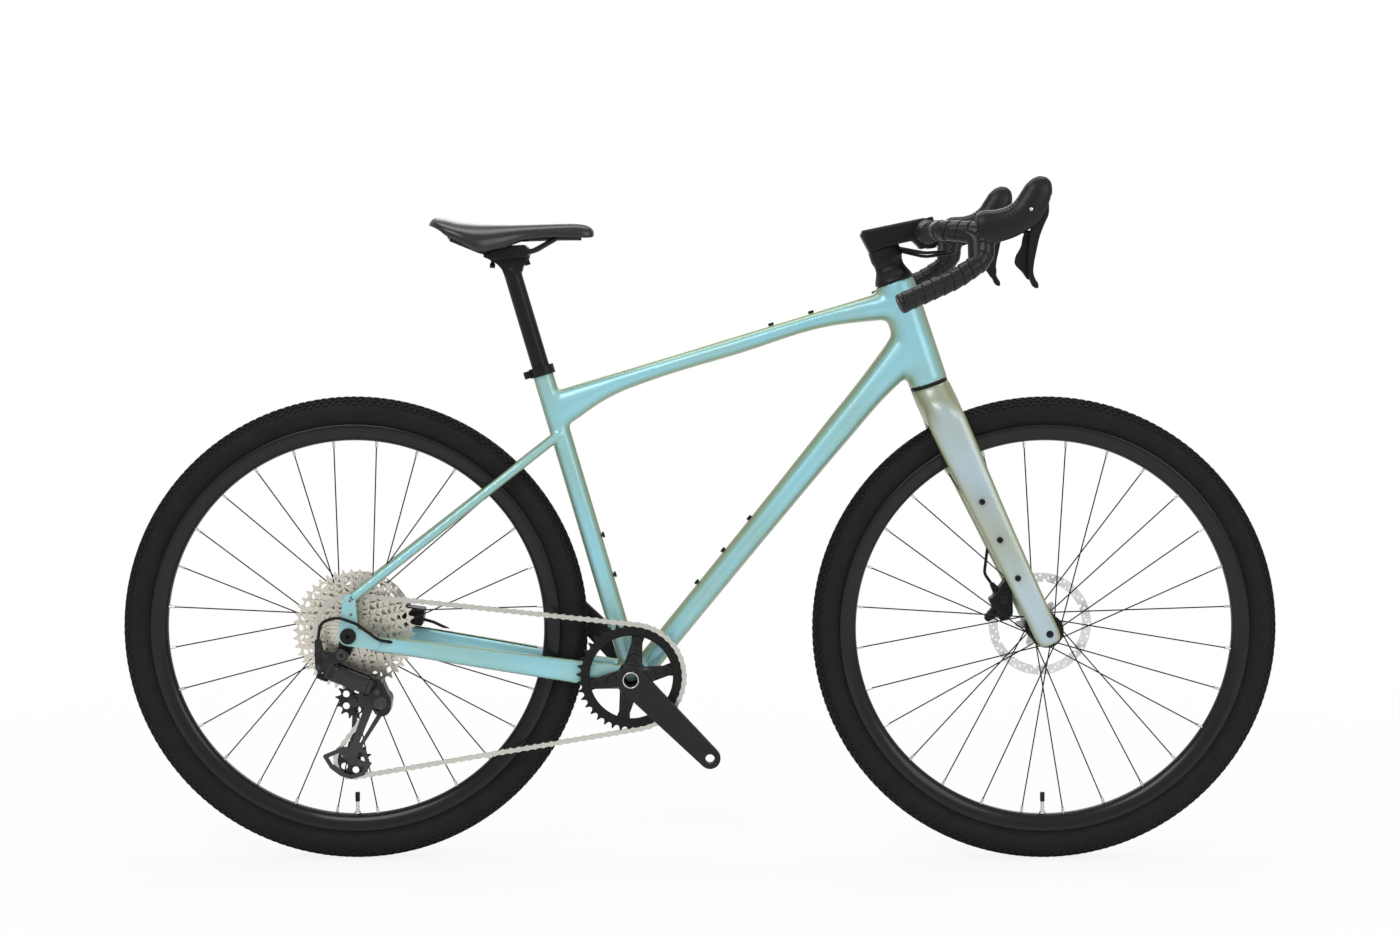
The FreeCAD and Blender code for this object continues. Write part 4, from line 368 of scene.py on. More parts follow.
def make_finishes(paints):
    """Every finish of the bike."""
    for name, bands in BANDS.items():
        piece = name.split("_")[0]
        shades = [tuple(getattr(paints, f"{piece}_{part}")) for part in ("face", "turn", "edge", "cloud")]
        paint(name, bands, *shades)
    rubber("tyre_rubber", (0.010, 0.010, 0.010), 0.70, 900.0, 0.00008)
    rubber("hood_rubber", (0.007, 0.007, 0.007), 0.42, 1500.0, 0.00004, 0.30)
    rubber("tape_foam", (0.007, 0.007, 0.007), 0.38, 700.0, 0.00008, 0.34)
    rubber("saddle_cover", (0.009, 0.009, 0.009), 0.35, 1300.0, 0.00003, 0.60)
    rubber("line_jacket", (0.010, 0.010, 0.011), 0.50, 2200.0, 0.00002)
    coated("satin_black", (0.006, 0.006, 0.0065), 0.36)
    coated("rim_black", (0.006, 0.006, 0.0065), 0.28, grain=900.0, coat=0.2)
    coated("crank_grey", (0.016, 0.016, 0.017), 0.42, metallic=0.15)
    coated("ring_black", (0.007, 0.007, 0.0075), 0.42, metallic=0.1)
    coated("gear_plastic", (0.008, 0.008, 0.0085), 0.30, coat=0.2)
    coated("link_gloss", (0.020, 0.020, 0.023), 0.26, metallic=0.3, coat=0.4)
    coated("cage_grey", (0.050, 0.050, 0.053), 0.40, metallic=0.3)
    coated("bolt_black", (0.007, 0.007, 0.007), 0.36, metallic=0.2)
    coated("chain_steel", (0.62, 0.60, 0.56), 0.34, metallic=1.0, grain=700.0, edge=0.0003)
    coated("bright_steel", (0.70, 0.70, 0.69), 0.25, metallic=1.0, grain=600.0)
    turned_steel("sprocket_champagne", (0.80, 0.755, 0.66), 0.36, REAR)
    for side, axle in WHEELS.items():
        two_metals("spokes_" + side, axle, NIPPLES_AT, SPOKE, STEEL)
        two_metals("valve_" + side, axle, CAP_END_AT, CAP, STEEL)
        turned_steel("disc_steel_" + side, (0.88, 0.88, 0.86), 0.34, axle)


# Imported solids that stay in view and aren't satin black
NODES_OF_FINISH = {
    "frame_paint": ["rear_dropouts"],
    "spokes_front": ["front_spokes"],
    "spokes_rear": ["rear_spokes"],
    "valve_front": ["front_valve"],
    "valve_rear": ["rear_valve"],
    "disc_steel_front": ["front_rotor"],
    "disc_steel_rear": ["rear_rotor"],
    "ring_black": ["chainring"],
    "bolt_black": ["frame_bolts", "freehub_body"],
    "gear_plastic": ["derailleur_inner_link", "guide_pulley", "tension_pulley"],
    "sprocket_champagne": ["cassette"],
    "chain_steel": ["chain"],
    "line_jacket": ["control_hoses", "rear_cables"],
}


def cover(obj, finish):
    """Give a piece one finish all over."""
    if not obj.material_slots:
        obj.data.materials.append(None)
    for slot in obj.material_slots:
        slot.material = FINISHES[finish]


# Mesh helpers

def spread(rows, steps):
    """Rows of numbers, with smooth ones added between them."""
    table = np.array(rows, float)
    reach = np.concatenate([[0], np.cumsum(np.linalg.norm(np.diff(table, axis=0), axis=1))])
    pace = np.gradient(table, reach, axis=0)
    filled = []
    for i in range(len(table) - 1):
        span = reach[i + 1] - reach[i]
        for t in np.linspace(0, 1, steps, endpoint=False):
            filled.append(table[i] * (1 + 2 * t) * (1 - t) ** 2 + pace[i] * span * t * (1 - t) ** 2
                          + table[i + 1] * t * t * (3 - 2 * t) + pace[i + 1] * span * t * t * (t - 1))
    return filled + [table[-1]]


def oval(centre, first, second, half_first, half_second, power=2.0, count=40):
    """Closed rounded section around a point; its half sizes are in millimetres."""
    points = []
    for i in range(count):
        turn = 2 * math.pi * i / count
        c, s = math.cos(turn), math.sin(turn)
        reach = MM * (abs(c) ** power + abs(s) ** power) ** (-1 / power)
        points.append(centre + first * (half_first * reach * c) + second * (half_second * reach * s))
    return points


def bend(points, radii, step=4.0):
    """Line of a bent tube: straight runs and round bends, with radii and step in millimetres."""
    line = [points[0]]
    step = step * MM

    def run(end):
        start = line[-1]
        pieces = max(1, round((end - start).length / step))
        line.extend(start.lerp(end, i / pieces) for i in range(1, pieces + 1))

    for before, corner, after, radius in zip(points, points[1:], points[2:], [r * MM for r in radii]):
        back, on = (before - corner).normalized(), (after - corner).normalized()
        half = back.angle(on) / 2
        inset = radius / math.tan(half)
        run(corner + back * inset)
        centre = corner + (back + on).normalized() * (radius / math.sin(half))
        arm = corner + back * inset - centre
        axis = arm.cross(corner + on * inset - centre).normalized()
        sweep_angle = math.pi - 2 * half
        pieces = max(2, round(radius * sweep_angle / step))
        for i in range(1, pieces + 1):
            line.append(centre + Matrix.Rotation(sweep_angle * i / pieces, 3, axis) @ arm)
    run(points[-1])
    return line


def carried_frames(path):
    """Each point of a line with two directions across it, carried along without twist."""
    last = len(path) - 1
    along = [(path[min(i + 1, last)] - path[max(i - 1, 0)]).normalized() for i in range(len(path))]
    first = along[0].orthogonal().normalized()
    frames = []
    for point, heading in zip(path, along):
        first = (first - heading * first.dot(heading)).normalized()
        frames.append((point, first, heading.cross(first)))
    return frames


def sweep(path, radius, count):
    """Rings of a round tube along a line."""
    return [oval(point, first, second, radius, radius, 2.0, count)
            for point, first, second in carried_frames(path)]


class Shape:
    """Points, in metres, and faces gathered for one mesh; all sizes are given in millimetres."""

    def __init__(self):
        self.points = []
        self.faces = []

    def add(self, points, faces):
        start = len(self.points)
        self.points += [tuple(p) for p in points]
        self.faces += [tuple(start + i for i in face) for face in faces]
        return self

    def skin(self, rings, looped=False):
        """Quads between rings of equal length, with flat ends unless looped."""
        count = len(rings[0])
        faces = []
        last = len(rings) if looped else len(rings) - 1
        for i in range(last):
            here, there = i * count, (i + 1) % len(rings) * count
            for j in range(count):
                after = (j + 1) % count
                faces.append((here + j, here + after, there + after, there + j))
        if not looped:
            faces.append(tuple(reversed(range(count))))
            faces.append(tuple(range((len(rings) - 1) * count, len(rings) * count)))
        return self.add([p for ring in rings for p in ring], faces)

    def prism(self, outline, low, high):
        """Side-view outline between two distances from the middle plane."""
        return self.skin([[mm(x, y, z) for x, z in outline] for y in (low, high)])

    def hull(self, first, first_radius, second, second_radius, low, high):
        """Plate around two circles, whose middles are side-view pairs."""
        (x0, z0), (x1, z1) = first, second
        reach = math.hypot(x1 - x0, z1 - z0)
        lean = math.asin(max(-1, min(1, (first_radius - second_radius) / max(reach, 1e-6))))
        heading = math.atan2(z1 - z0, x1 - x0)
        quarter = math.pi / 2 - lean
        outline = []
        for (x, z), radius, start, stop in ((second, second_radius, -quarter, quarter),
                                            (first, first_radius, quarter, 2 * math.pi - quarter)):
            for turn in np.linspace(start, stop, 25) + heading:
                outline.append((x + radius * math.cos(turn), z + radius * math.sin(turn)))
        return self.prism(outline, low, high)

    def drum(self, base, axis, low, high, radius, count=48):
        """Closed cylinder along an axis, between two heights above its base."""
        return self.turned(base, axis, [(low, radius), (high, radius)], count)

    def box(self, origin, axes, low, high):
        """Block between two corners, along three axes."""
        spans = [[axis * end * MM for end in ends] for axis, ends in zip(axes, zip(low, high))]
        corners = [(0, 0), (1, 0), (1, 1), (0, 1)]
        return self.skin([[origin + spans[0][end] + spans[1][i] + spans[2][j] for i, j in corners]
                          for end in (0, 1)])

    def turned(self, base, axis, profile, count=32, closed=False):
        """Form turned about an axis; profile is height and radius."""
        first = axis.orthogonal().normalized()
        second = axis.cross(first).normalized()
        tip = 0.01
        rings = []
        for height, radius in profile:
            radius = max(radius, tip)
            rings.append(oval(base + axis * height * MM, first, second, radius, radius, 2.0, count))
        return self.skin(rings, looped=closed)

    def mirror(self):
        """Add the other side of the bike."""
        flipped = [(x, -y, z) for x, y, z in self.points]
        return self.add(flipped, [tuple(reversed(face)) for face in self.faces])

    def build(self, name, sharp=None):
        """Smooth object; sharp is the angle in degrees from which edges stay crisp."""
        mesh = bpy.data.meshes.new(name)
        mesh.from_pydata(self.points, [], self.faces)
        work = bmesh.new()
        work.from_mesh(mesh)
        bmesh.ops.recalc_face_normals(work, faces=work.faces)
        work.to_mesh(mesh)
        work.free()
        mesh.shade_smooth()
        if sharp:
            mesh.set_sharp_from_angle(angle=math.radians(sharp))
        obj = bpy.data.objects.new(name, mesh)
        bpy.context.scene.collection.objects.link(obj)
        return obj

    def melt(self, name, voxel, smooth, fill=0, last=0):
        """Object with one skin around all forms: smoothed, inside corners filled, smoothed again."""
        obj = weld(self.build(name), voxel)
        relax(obj, smooth)
        relax(obj, fill, fill_only=True)
        return relax(obj, last)


def settle(obj):
    """Turn the object's modifiers into its mesh."""
    bpy.context.view_layer.update()
    graph = bpy.context.evaluated_depsgraph_get()
    mesh = bpy.data.meshes.new_from_object(obj.evaluated_get(graph))
    obj.modifiers.clear()
    old, obj.data = obj.data, mesh
    bpy.data.meshes.remove(old)
    mesh.shade_smooth()
    return obj


def weld(obj, voxel):
    """Melt overlapping closed forms into one skin; voxel is in metres."""
    remesh = obj.modifiers.new("weld", "REMESH")
    remesh.mode = "VOXEL"
    remesh.voxel_size = voxel
    return settle(obj)


def carve(obj, tool):
    """Cut a closed form out of a piece and drop the tool."""
    boolean = obj.modifiers.new("carve", "BOOLEAN")
    boolean.operation = "DIFFERENCE"
    boolean.solver = "EXACT"
    boolean.object = tool
    settle(obj)
    bpy.data.objects.remove(tool)


def read_points(mesh):
    points = np.empty(len(mesh.vertices) * 3)
    mesh.vertices.foreach_get("co", points)
    return points.reshape(-1, 3)


def read_normals(mesh):
    normals = np.empty(len(mesh.vertices) * 3)
    mesh.vertex_normals.foreach_get("vector", normals)
    return normals.reshape(-1, 3)


def write_points(mesh, points):
    mesh.vertices.foreach_set("co", points.ravel())
    mesh.update()


def relax(obj, rounds, fill_only=False):
    """Smooth a mesh; with fill_only just the inside corners fill up."""
    mesh = obj.data
    points = read_points(mesh)
    count = len(points)
    ends = np.empty(len(mesh.edges) * 2, int)
    mesh.edges.foreach_get("vertices", ends)
    a, b = ends.reshape(-1, 2).T
    degree = np.bincount(a, minlength=count) + np.bincount(b, minlength=count)
    for _ in range(rounds):
        sums = [np.bincount(a, points[b, i], count) + np.bincount(b, points[a, i], count) for i in range(3)]
        move = np.stack(sums, 1) / degree[:, None] - points
        if fill_only:
            normals = read_normals(mesh)
            move = normals * np.maximum((move * normals).sum(1), 0)[:, None]
        points = points + move * 0.7
        write_points(mesh, points)
    return obj


def finish_piece(obj, body, finish, slot, *nodes):
    """Seat a finished piece on its body, in place of the plain solids."""
    cover(obj, finish)
    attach(obj, body)
    if nodes:
        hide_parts(*nodes)
    return obj


# Operators

class StageOperator(bpy.types.Operator):
    """Floor, light and camera"""
    bl_idname = "bike.stage"
    bl_label = "Stage"

    FLOOR_HALF = 14.0
    # strength of the white surroundings for all rays but the camera's
    AMBIENT = 0.55
    # share of white that the camera sees on the floor near the bike, so that its shadow stays
    NEAR_GLOW = 0.86
    SENSOR = 36
    # place, aim, size and power of each lamp
    LAMPS = {"key": ((-1.6, -3.2, 3.4), (0, 0, 0.5), (2.6, 1.6), 62),
             "fill": ((2.6, -2.6, 1.9), (0, 0, 0.5), (1.8, 1.8), 24),
             "top": ((0, 0.4, 3.6), (0, 0, 0.5), (3.2, 1.2), 42),
             "back": ((0.4, 3.4, 2.4), (0, 0, 0.6), (3.0, 1.6), 34)}

    def execute(self, context):
        settings = context.scene.bike_stage
        self.floor(settings)
        self.light(context)
        self.camera(context, settings)
        return {"FINISHED"}

    def floor(self, settings):
        size = self.FLOOR_HALF
        corners = [(-size, -size, 0), (size, -size, 0), (size, size, 0), (-size, size, 0)]
        floor = Shape().add(corners, [(0, 1, 2, 3)]).build("floor")
        finish = Finish("floor_white", Roughness=0.9, Specular_IOR_Level=0.1)
        finish.set("Base Color", (*settings.floor, 1))
        glow = finish.node("ShaderNodeEmission", None, {"Color": (1, 1, 1, 1), "Strength": 1.0})
        rays = finish.node("ShaderNodeLightPath", output="Is Camera Ray")
        away = finish.step(finish.vector("LENGTH", finish.place(), output="Value"), 0.9, 2.2)
        share = rays * (self.NEAR_GLOW + away * (1 - self.NEAR_GLOW))
        plain = Value(finish, finish.shader.outputs[0])
        blend = finish.node("ShaderNodeMixShader", None, {0: share, 1: plain, 2: glow})
        finish.feed(finish.tree.nodes["Material Output"].inputs["Surface"], blend)
        cover(floor, "floor_white")

    def light(self, context):
        world = bpy.data.worlds.new("studio")
        context.scene.world = world
        world.use_nodes = True
        nodes = Nodes(world.node_tree)
        backdrop = world.node_tree.nodes["Background"].inputs
        rays = nodes.node("ShaderNodeLightPath", output="Is Camera Ray")
        nodes.feed(backdrop["Strength"], self.AMBIENT + rays * (1 - self.AMBIENT))
        nodes.feed(backdrop["Color"], (1, 1, 1, 1))
        for name, (spot, aim, size, power) in self.LAMPS.items():
            lamp = bpy.data.lights.new(name, "AREA")
            lamp.shape = "RECTANGLE"
            lamp.size, lamp.size_y = size
            lamp.energy = power
            self.hang(context, name, lamp, Vector(spot), Vector(aim))
        context.scene.view_settings.view_transform = "Standard"

    def hang(self, context, name, data, spot, aim):
        """Place a lamp or the camera, looking at its aim."""
        holder = bpy.data.objects.new(name, data)
        holder.location = spot
        holder.rotation_euler = (aim - spot).to_track_quat("-Z", "Y").to_euler()
        context.scene.collection.objects.link(holder)
        return holder

    def camera(self, context, settings):
        lens = bpy.data.cameras.new("camera")
        eye = Vector((0, -settings.camera_distance, settings.camera_height))
        aim = Vector((0, 0, settings.aim_height + settings.view_shift * settings.view_width))
        lens.sensor_width = self.SENSOR
        lens.lens = self.SENSOR * (aim - eye).length / settings.view_width
        lens.shift_y = -settings.view_shift
        context.scene.camera = self.hang(context, "camera", lens, eye, aim)


class FinishesOperator(bpy.types.Operator):
    """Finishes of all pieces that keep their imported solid"""
    bl_idname = "bike.finishes"
    bl_label = "Finishes"

    def execute(self, context):
        make_finishes(context.scene.bike_paint)
        for node in frame["nodes"].values():
            cover(node, "satin_black")
        for finish, names in NODES_OF_FINISH.items():
            for name in names:
                cover(frame["nodes"][name], finish)
        return {"FINISHED"}


class FrameOperator(bpy.types.Operator):
    """Painted frame with smooth welds"""
    bl_idname = "bike.frame"
    bl_label = "Frame"

    # chainstay of one side: place, height, distance out, half height and half width
    CHAINSTAY = [(-497, 345, 79, 12.2, 6.0), (-450, 338.5, 70, 13.2, 6.6), (-380, 327, 59, 15, 7.2),
                 (-290, 312, 46.5, 17, 7.4), (-200, 297, 34.5, 18.4, 7.2), (-150, 289.5, 30, 19, 7.2),
                 (-112, 285, 28.5, 19, 7.2)]

    def execute(self, context):
        shape = Shape()
        shape.drum(CROWN, STEER_UP, 3, 169, 30, 64)
        shape.drum(BRACKET, LEFT, -34, 34, 22, 64)
        shape.drum(BRACKET, SEAT_UP, 0, 492, 16)
        self.down_tube(shape)
        self.top_tube(shape)
        self.rear_stays(shape)
        welded = shape.melt("frame_shell", context.scene.bike_shape.weld_voxel, 3, 40, 2)
        finish_piece(welded, "frame", "frame_paint", "paint", "head_tube", "top_tube", "down_tube",
                     "seat_tube", "bottom_bracket_shell", "chainstays", "seatstays")
        return {"FINISHED"}

    def tube(self, shape, foot, along, stations):
        """Stations are reach, offset, half height and half width in millimetres."""
        square = along.cross(LEFT).normalized()
        skin_high, skin_wide = 0.9, 0.5
        rings = []
        for reach, offset, high, wide in spread(stations, 6):
            centre = foot + (along * reach + square * offset) * MM
            rings.append(oval(centre, square, LEFT, high + skin_high, wide + skin_wide, 2.3))
        shape.skin(rings)

    def down_tube(self, shape):
        foot = BRACKET + mm(9, 0, -5)
        along = on_steerer(0, 77.2) - foot
        reach = along.length / MM
        self.tube(shape, foot, along.normalized(), [
            (0, 0, 16.8, 22), (reach * 0.25, 0, 17.4, 24), (reach * 0.5, 0, 18.6, 25),
            (reach * 0.72, 0, 20.8, 25.5), (reach * 0.87, -1, 23.5, 26), (reach * 0.955, -4, 30, 26.5),
            (reach + 5, -8, 38, 27)])

    def top_tube(self, shape):
        """Tube with a straight upper side, deeper at both ends."""
        foot = BRACKET + SEAT_UP * 436.8 * MM
        along = on_steerer(0, 145.7) - foot
        reach = along.length / MM
        upper_side = 13.2
        depths = [(0, 58, 15), (31, 49.7, 15.2), (55, 41.5, 15.8), (78, 35, 16.5), (104, 30, 17.5),
                  (150, 26.6, 18.5), (300, 26.2, 19), (reach - 115, 26.6, 20), (reach - 60, 36, 22.5),
                  (reach - 25, 44, 25), (reach + 4, 54, 26.5)]
        self.tube(shape, foot, along.normalized(),
                  [(at, upper_side - deep / 2, deep / 2, wide) for at, deep, wide in depths])

    def rear_stays(self, shape):
        sides = Shape()
        sides.skin([oval(mm(x, out, z), UP, LEFT, high, wide, 2.6)
                    for x, z, out, high, wide in spread(self.CHAINSTAY, 6)])
        top = BRACKET + SEAT_UP * 386 * MM
        end = REAR + mm(4, 79, 56)
        knee = top.lerp(Vector((end.x, 0, end.z)), 0.2) + LEFT * 37 * MM
        sides.skin(sweep(bend([top + LEFT * 10 * MM, knee, end], [120]), 8.0, 28))
        sides.mirror()
        shape.add(sides.points, sides.faces)


class ForkOperator(bpy.types.Operator):
    """Pearl fork with its crown, and the bolts of its cargo bosses"""
    bl_idname = "bike.fork"
    bl_label = "Fork"

    # place ahead, height, half depth, half width and squareness
    CROWN_STATIONS = [(0, 0, 30, 30, 2.0), (1.3, -12, 30.4, 36, 2.3), (3, -28, 30.6, 46.5, 2.6),
                      (4.6, -44, 30.2, 51.5, 2.8), (6, -58, 29.6, 53, 3.0)]
    FIRST_BOSS = 98
    BOSS_SPACING = 64
    # outer face of the leg at each boss
    BOSS_FACES = (66.2, 64.6, 62.6)
    BOLT = [(0, 4.6), (3.4, 4.6), (4.4, 4.0), (4.7, 3.2), (4.7, 2.2), (3.0, 2.0), (3.0, 0)]

    def execute(self, context):
        shape = Shape()
        shape.skin([oval(on_steerer(ahead, height), STEER_AHEAD, LEFT, deep, wide, power)
                    for ahead, height, deep, wide, power in spread(self.CROWN_STATIONS, 6)])
        self.legs(shape)
        welded = shape.melt("fork_shell", 0.0019, 4, 90, 4)
        finish_piece(welded, "steering", "fork_pearl", "fork_paint", "fork_crown", "fork_legs")
        race = Shape().drum(CROWN, STEER_UP, -0.8, 3.6, 29.3, 64)
        finish_piece(race.build("crown_race"), "steering", "bolt_black", "black_alloy")
        bolts = Shape()
        for i, face in enumerate(self.BOSS_FACES):
            spot = FRONT - (LEG_DOWN * (self.FIRST_BOSS + self.BOSS_SPACING * i) + LEG_SQUARE * 8) * MM
            bolts.turned(spot + LEFT * (face - 2) * MM, LEFT, self.BOLT, 24)
        bolts.mirror()
        finish_piece(bolts.build("fork_bolts"), "steering", "bolt_black", "black_alloy")
        return {"FINISHED"}

    def legs(self, shape):
        """Both legs, from reach down, offset, half depth, distance out and half width."""
        reach = (FRONT - LEG_TOP).length / MM
        stations = [(2, -2, 20.0, 29.0, 8.0), (16, -2.4, 26.0, 35.5, 9.5), (36, -3, 29.0, 40.5, 11.0),
                    (62, -3.5, 29.2, 42.0, 11.2), (125, -4, 26.8, 45.0, 10.5), (225, -4, 23.0, 52.0, 9.6),
                    (310, -3.8, 20.8, 57.0, 8.6), (reach - 25, -3.6, 19.8, 58.6, 8.2),
                    (reach + 4, -3.6, 19.4, 58.6, 8.2), (reach + 11, -3.4, 18.0, 58.6, 8.0),
                    (reach + 15, -3, 15.0, 58.6, 7.4), (reach + 17, -3, 11.0, 58.6, 6.4)]
        legs = Shape()
        rings = []
        for down, offset, deep, out, wide in spread(stations, 6):
            centre = LEG_TOP + (LEG_DOWN * down + LEG_SQUARE * offset + LEFT * out) * MM
            rings.append(oval(centre, LEG_SQUARE, LEFT, deep, wide, 2.5))
        legs.skin(rings).mirror()
        shape.add(legs.points, legs.faces)


class TyresOperator(bpy.types.Operator):
    """Tyres with their tread knobs, and the rims"""
    bl_idname = "bike.tyres"
    bl_label = "Tyres"

    # half section from the rim edge to the crown: radius and distance from the middle, in millimetres
    TYRE = [(313.0, 11.6), (316.8, 11.8), (318.6, 13.6), (321.5, 16.6), (325.5, 19.3), (330.0, 21.3),
            (335.0, 22.1), (340.0, 21.7), (345.0, 19.9), (349.5, 16.6), (352.8, 12.2), (355.0, 6.4),
            (355.8, 0.0)]
    # half section of the rim from the tyre well to the spoke bed, in the same way
    RIM = [(308.0, 1.5), (308.0, 9.6), (314.6, 10.6), (316.2, 11.6), (315.6, 13.2), (312.5, 14.0),
           (306.5, 13.6), (300.0, 11.8), (294.5, 8.8), (291.2, 5.4), (290.0, 1.5)]
    SECTIONS = 200
    # knobs of one pitch: place across, place along, length, width and slant
    KNOBS = [(2.6, 0.05, 7.6, 3.6, 0.0), (2.6, 0.55, 7.0, 3.4, 0.3), (8.4, 0.30, 7.6, 4.0, -0.25),
             (8.0, 0.80, 6.4, 3.8, 0.2), (13.6, 0.10, 7.4, 4.2, 0.25), (13.2, 0.60, 6.6, 4.0, -0.2),
             (17.9, 0.35, 7.8, 5.0, 0.0), (17.6, 0.85, 6.6, 4.4, 0.15)]
    KNOB_FACES = [(0, 1, 5, 4), (1, 2, 6, 5), (2, 3, 7, 6), (3, 0, 4, 7), (4, 5, 6, 7)]

    def execute(self, context):
        settings = context.scene.bike_shape
        for name, axle in WHEELS.items():
            shape = self.ring(axle, spread(self.TYRE, 2))
            self.knobs(shape, axle, settings.knob_rows, settings.knob_height / MM)
            tyre = shape.build(name + "_tyre_tread", 38)
            finish_piece(tyre, name + "_wheel", "tyre_rubber", "tyre_rubber", name + "_tyre")
            rim = self.ring(axle, spread(self.RIM, 3)).build(name + "_rim_form", 50)
            finish_piece(rim, name + "_wheel", "rim_black", "black_alloy", name + "_rim")
        return {"FINISHED"}

    def at(self, axle, turn, radius, out):
        return axle + mm(radius * math.cos(turn), out, radius * math.sin(turn))

    def ring(self, axle, half):
        """Half section and its mirror image, turned about the axle."""
        loop = [tuple(p) for p in half] + [(r, -y) for r, y in reversed(half) if y > 0]
        turns = [2 * math.pi * i / self.SECTIONS for i in range(self.SECTIONS)]
        return Shape().skin([[self.at(axle, turn, r, y) for r, y in loop] for turn in turns], looped=True)

    def knobs(self, shape, axle, pitches, height):
        """Blocks that stand on the tyre, leaning with its surface; the sides are half a pitch apart."""
        radii, across = np.array(self.TYRE[::-1]).T
        widest = int(np.argmax(across)) + 1
        across, radii = across[:widest], radii[:widest]
        step = 2 * math.pi / pitches
        for i in range(pitches):
            for side, shift in ((1, 0.0), (-1, 0.5)):
                for y, along, long, wide, slant in self.KNOBS:
                    turn = (i + along + shift) * step
                    base = np.interp(y, across, radii)
                    near, far = np.interp([y - 1.5, y + 1.5], across, radii)
                    tilt = math.atan2(near - far, 3.0)
                    corners = []
                    for rise, grow in ((-1.0, 1.1), (height, 0.86)):
                        for u, v in ((-1, -1), (1, -1), (1, 1), (-1, 1)):
                            run = u * long / 2 * grow + v * slant * wide
                            move = v * wide / 2 * grow
                            out = y + move * math.cos(tilt) + rise * math.sin(tilt)
                            radius = base - move * math.sin(tilt) + rise * math.cos(tilt)
                            corners.append(self.at(axle, turn + run / base, radius, side * out))
                    shape.add(corners, [face[::side] for face in self.KNOB_FACES])


class SaddleOperator(bpy.types.Operator):
    """Padded saddle cover, with the seat post and the clamp that carry it"""
    bl_idname = "bike.saddle"
    bl_label = "Saddle"

    # place, top, edge of the skirt and half width, in millimetres
    STATIONS = [(-413.0, 981.6, 977.6, 22), (-409.0, 987.0, 975.6, 40), (-402.0, 990.4, 973.0, 53),
                (-392.0, 989.6, 967.4, 62), (-384.0, 988.2, 961.0, 67), (-366.0, 984.2, 952.4, 71.5),
                (-352.0, 982.4, 944.6, 72), (-340.0, 981.2, 938.2, 70), (-326.0, 980.6, 936.4, 65.5),
                (-306.0, 980.2, 941.6, 54), (-290.0, 980.0, 947.6, 46), (-275.0, 980.2, 953.0, 39),
                (-258.0, 980.4, 956.6, 33.5), (-236.0, 980.8, 958.8, 28), (-214.0, 981.2, 959.8, 24.5),
                (-192.0, 981.2, 959.0, 21.5), (-174.0, 978.8, 958.5, 17.5), (-166.0, 974.6, 959.5, 12.5),
                (-162.6, 968.5, 962.5, 5)]
    # side views
    POST_HEAD = [(-329, 930.5), (-321, 924.5), (-311, 919), (-303.5, 911), (-299.5, 901), (-272.5, 907),
                 (-271, 915), (-265, 922), (-261, 929), (-262, 935.5), (-329, 935.5)]
    LOWER_CRADLE = [(-330, 929.5), (-321, 926), (-266, 929), (-261.5, 932), (-262, 936.8), (-330, 935.8)]
    UPPER_CRADLE = [(-320, 937.0), (-262, 937.4), (-262, 943), (-268, 948.5), (-288, 947.5), (-298, 943.5),
                    (-318, 941)]
    SCREWS = [((-318.5, 913), (-318, 926)), ((-263.5, 917.5), (-268, 930))]

    def execute(self, context):
        rings = [self.ring(*station) for station in spread(self.STATIONS, 5)]
        saddle = Shape().skin(rings).build("saddle_cover")
        smooth = saddle.modifiers.new("smooth", "SUBSURF")
        smooth.levels = smooth.render_levels = 1
        relax(settle(saddle), 6)
        finish_piece(saddle, "seat", "saddle_cover", "saddle_cover", "saddle_pad")
        self.post()
        self.clamp()
        return {"FINISHED"}

    def ring(self, x, top, edge, half):
        """Crowned top with a shallow channel, rounded flank and a hollow underside."""
        deep = top - edge
        under = top - min(9.0, deep * 0.45)
        channel = 1.4 * math.exp(-((x + 300) / 70) ** 2)
        outline = [(0, top - channel), (0.14, top - channel * 0.55), (0.30, top - 0.3),
                   (0.48, top - 0.9 - 0.01 * deep), (0.66, top - 0.07 * deep - 1.2),
                   (0.82, top - 0.19 * deep - 1.6), (0.93, top - 0.36 * deep - 1.4),
                   (0.985, top - 0.55 * deep), (1.0, top - 0.72 * deep), (0.99, top - 0.88 * deep),
                   (0.965, edge), (0.93, edge + 0.6), (0.90, edge + 2.4), (0.80, under - 0.12 * deep),
                   (0.55, under), (0.25, under)]
        left = [mm(x, share * half, z) for share, z in outline]
        right = [mm(x, -share * half, z) for share, z in reversed(outline[1:])]
        return left + [mm(x, 0, under)] + right

    def post(self):
        """Seat post whose head flares out under the rails."""
        shape = Shape()
        shape.drum(BRACKET, SEAT_UP, 362, 648, 13.6, 56)
        shape.prism(self.POST_HEAD, -12, 12)
        post = shape.melt("seatpost_form", 0.0012, 5, 14)
        finish_piece(post, "seat", "satin_black", "black_alloy", "seatpost")

    def clamp(self):
        """Two cradles around the rails, drawn together by two screws."""
        shape = Shape()
        for outline in (self.LOWER_CRADLE, self.UPPER_CRADLE):
            shape.prism(outline, -26.5, 26.5)
        cradles = shape.melt("clamp_form", 0.001, 4)
        finish_piece(cradles, "seat", "satin_black", "black_alloy", "saddle_clamp")
        screws = Shape()
        for (x0, z0), (x1, z1) in self.SCREWS:
            axis = Vector((x1 - x0, 0, z1 - z0))
            screws.drum(mm(x0, 0, z0), axis.normalized(), 0, axis.length, 2.6, 20)
            screws.drum(mm(x0, 0, z0), axis.normalized(), 0, axis.length * 0.55, 4.2, 24)
        finish_piece(screws.build("clamp_screws"), "seat", "bolt_black", "black_alloy")


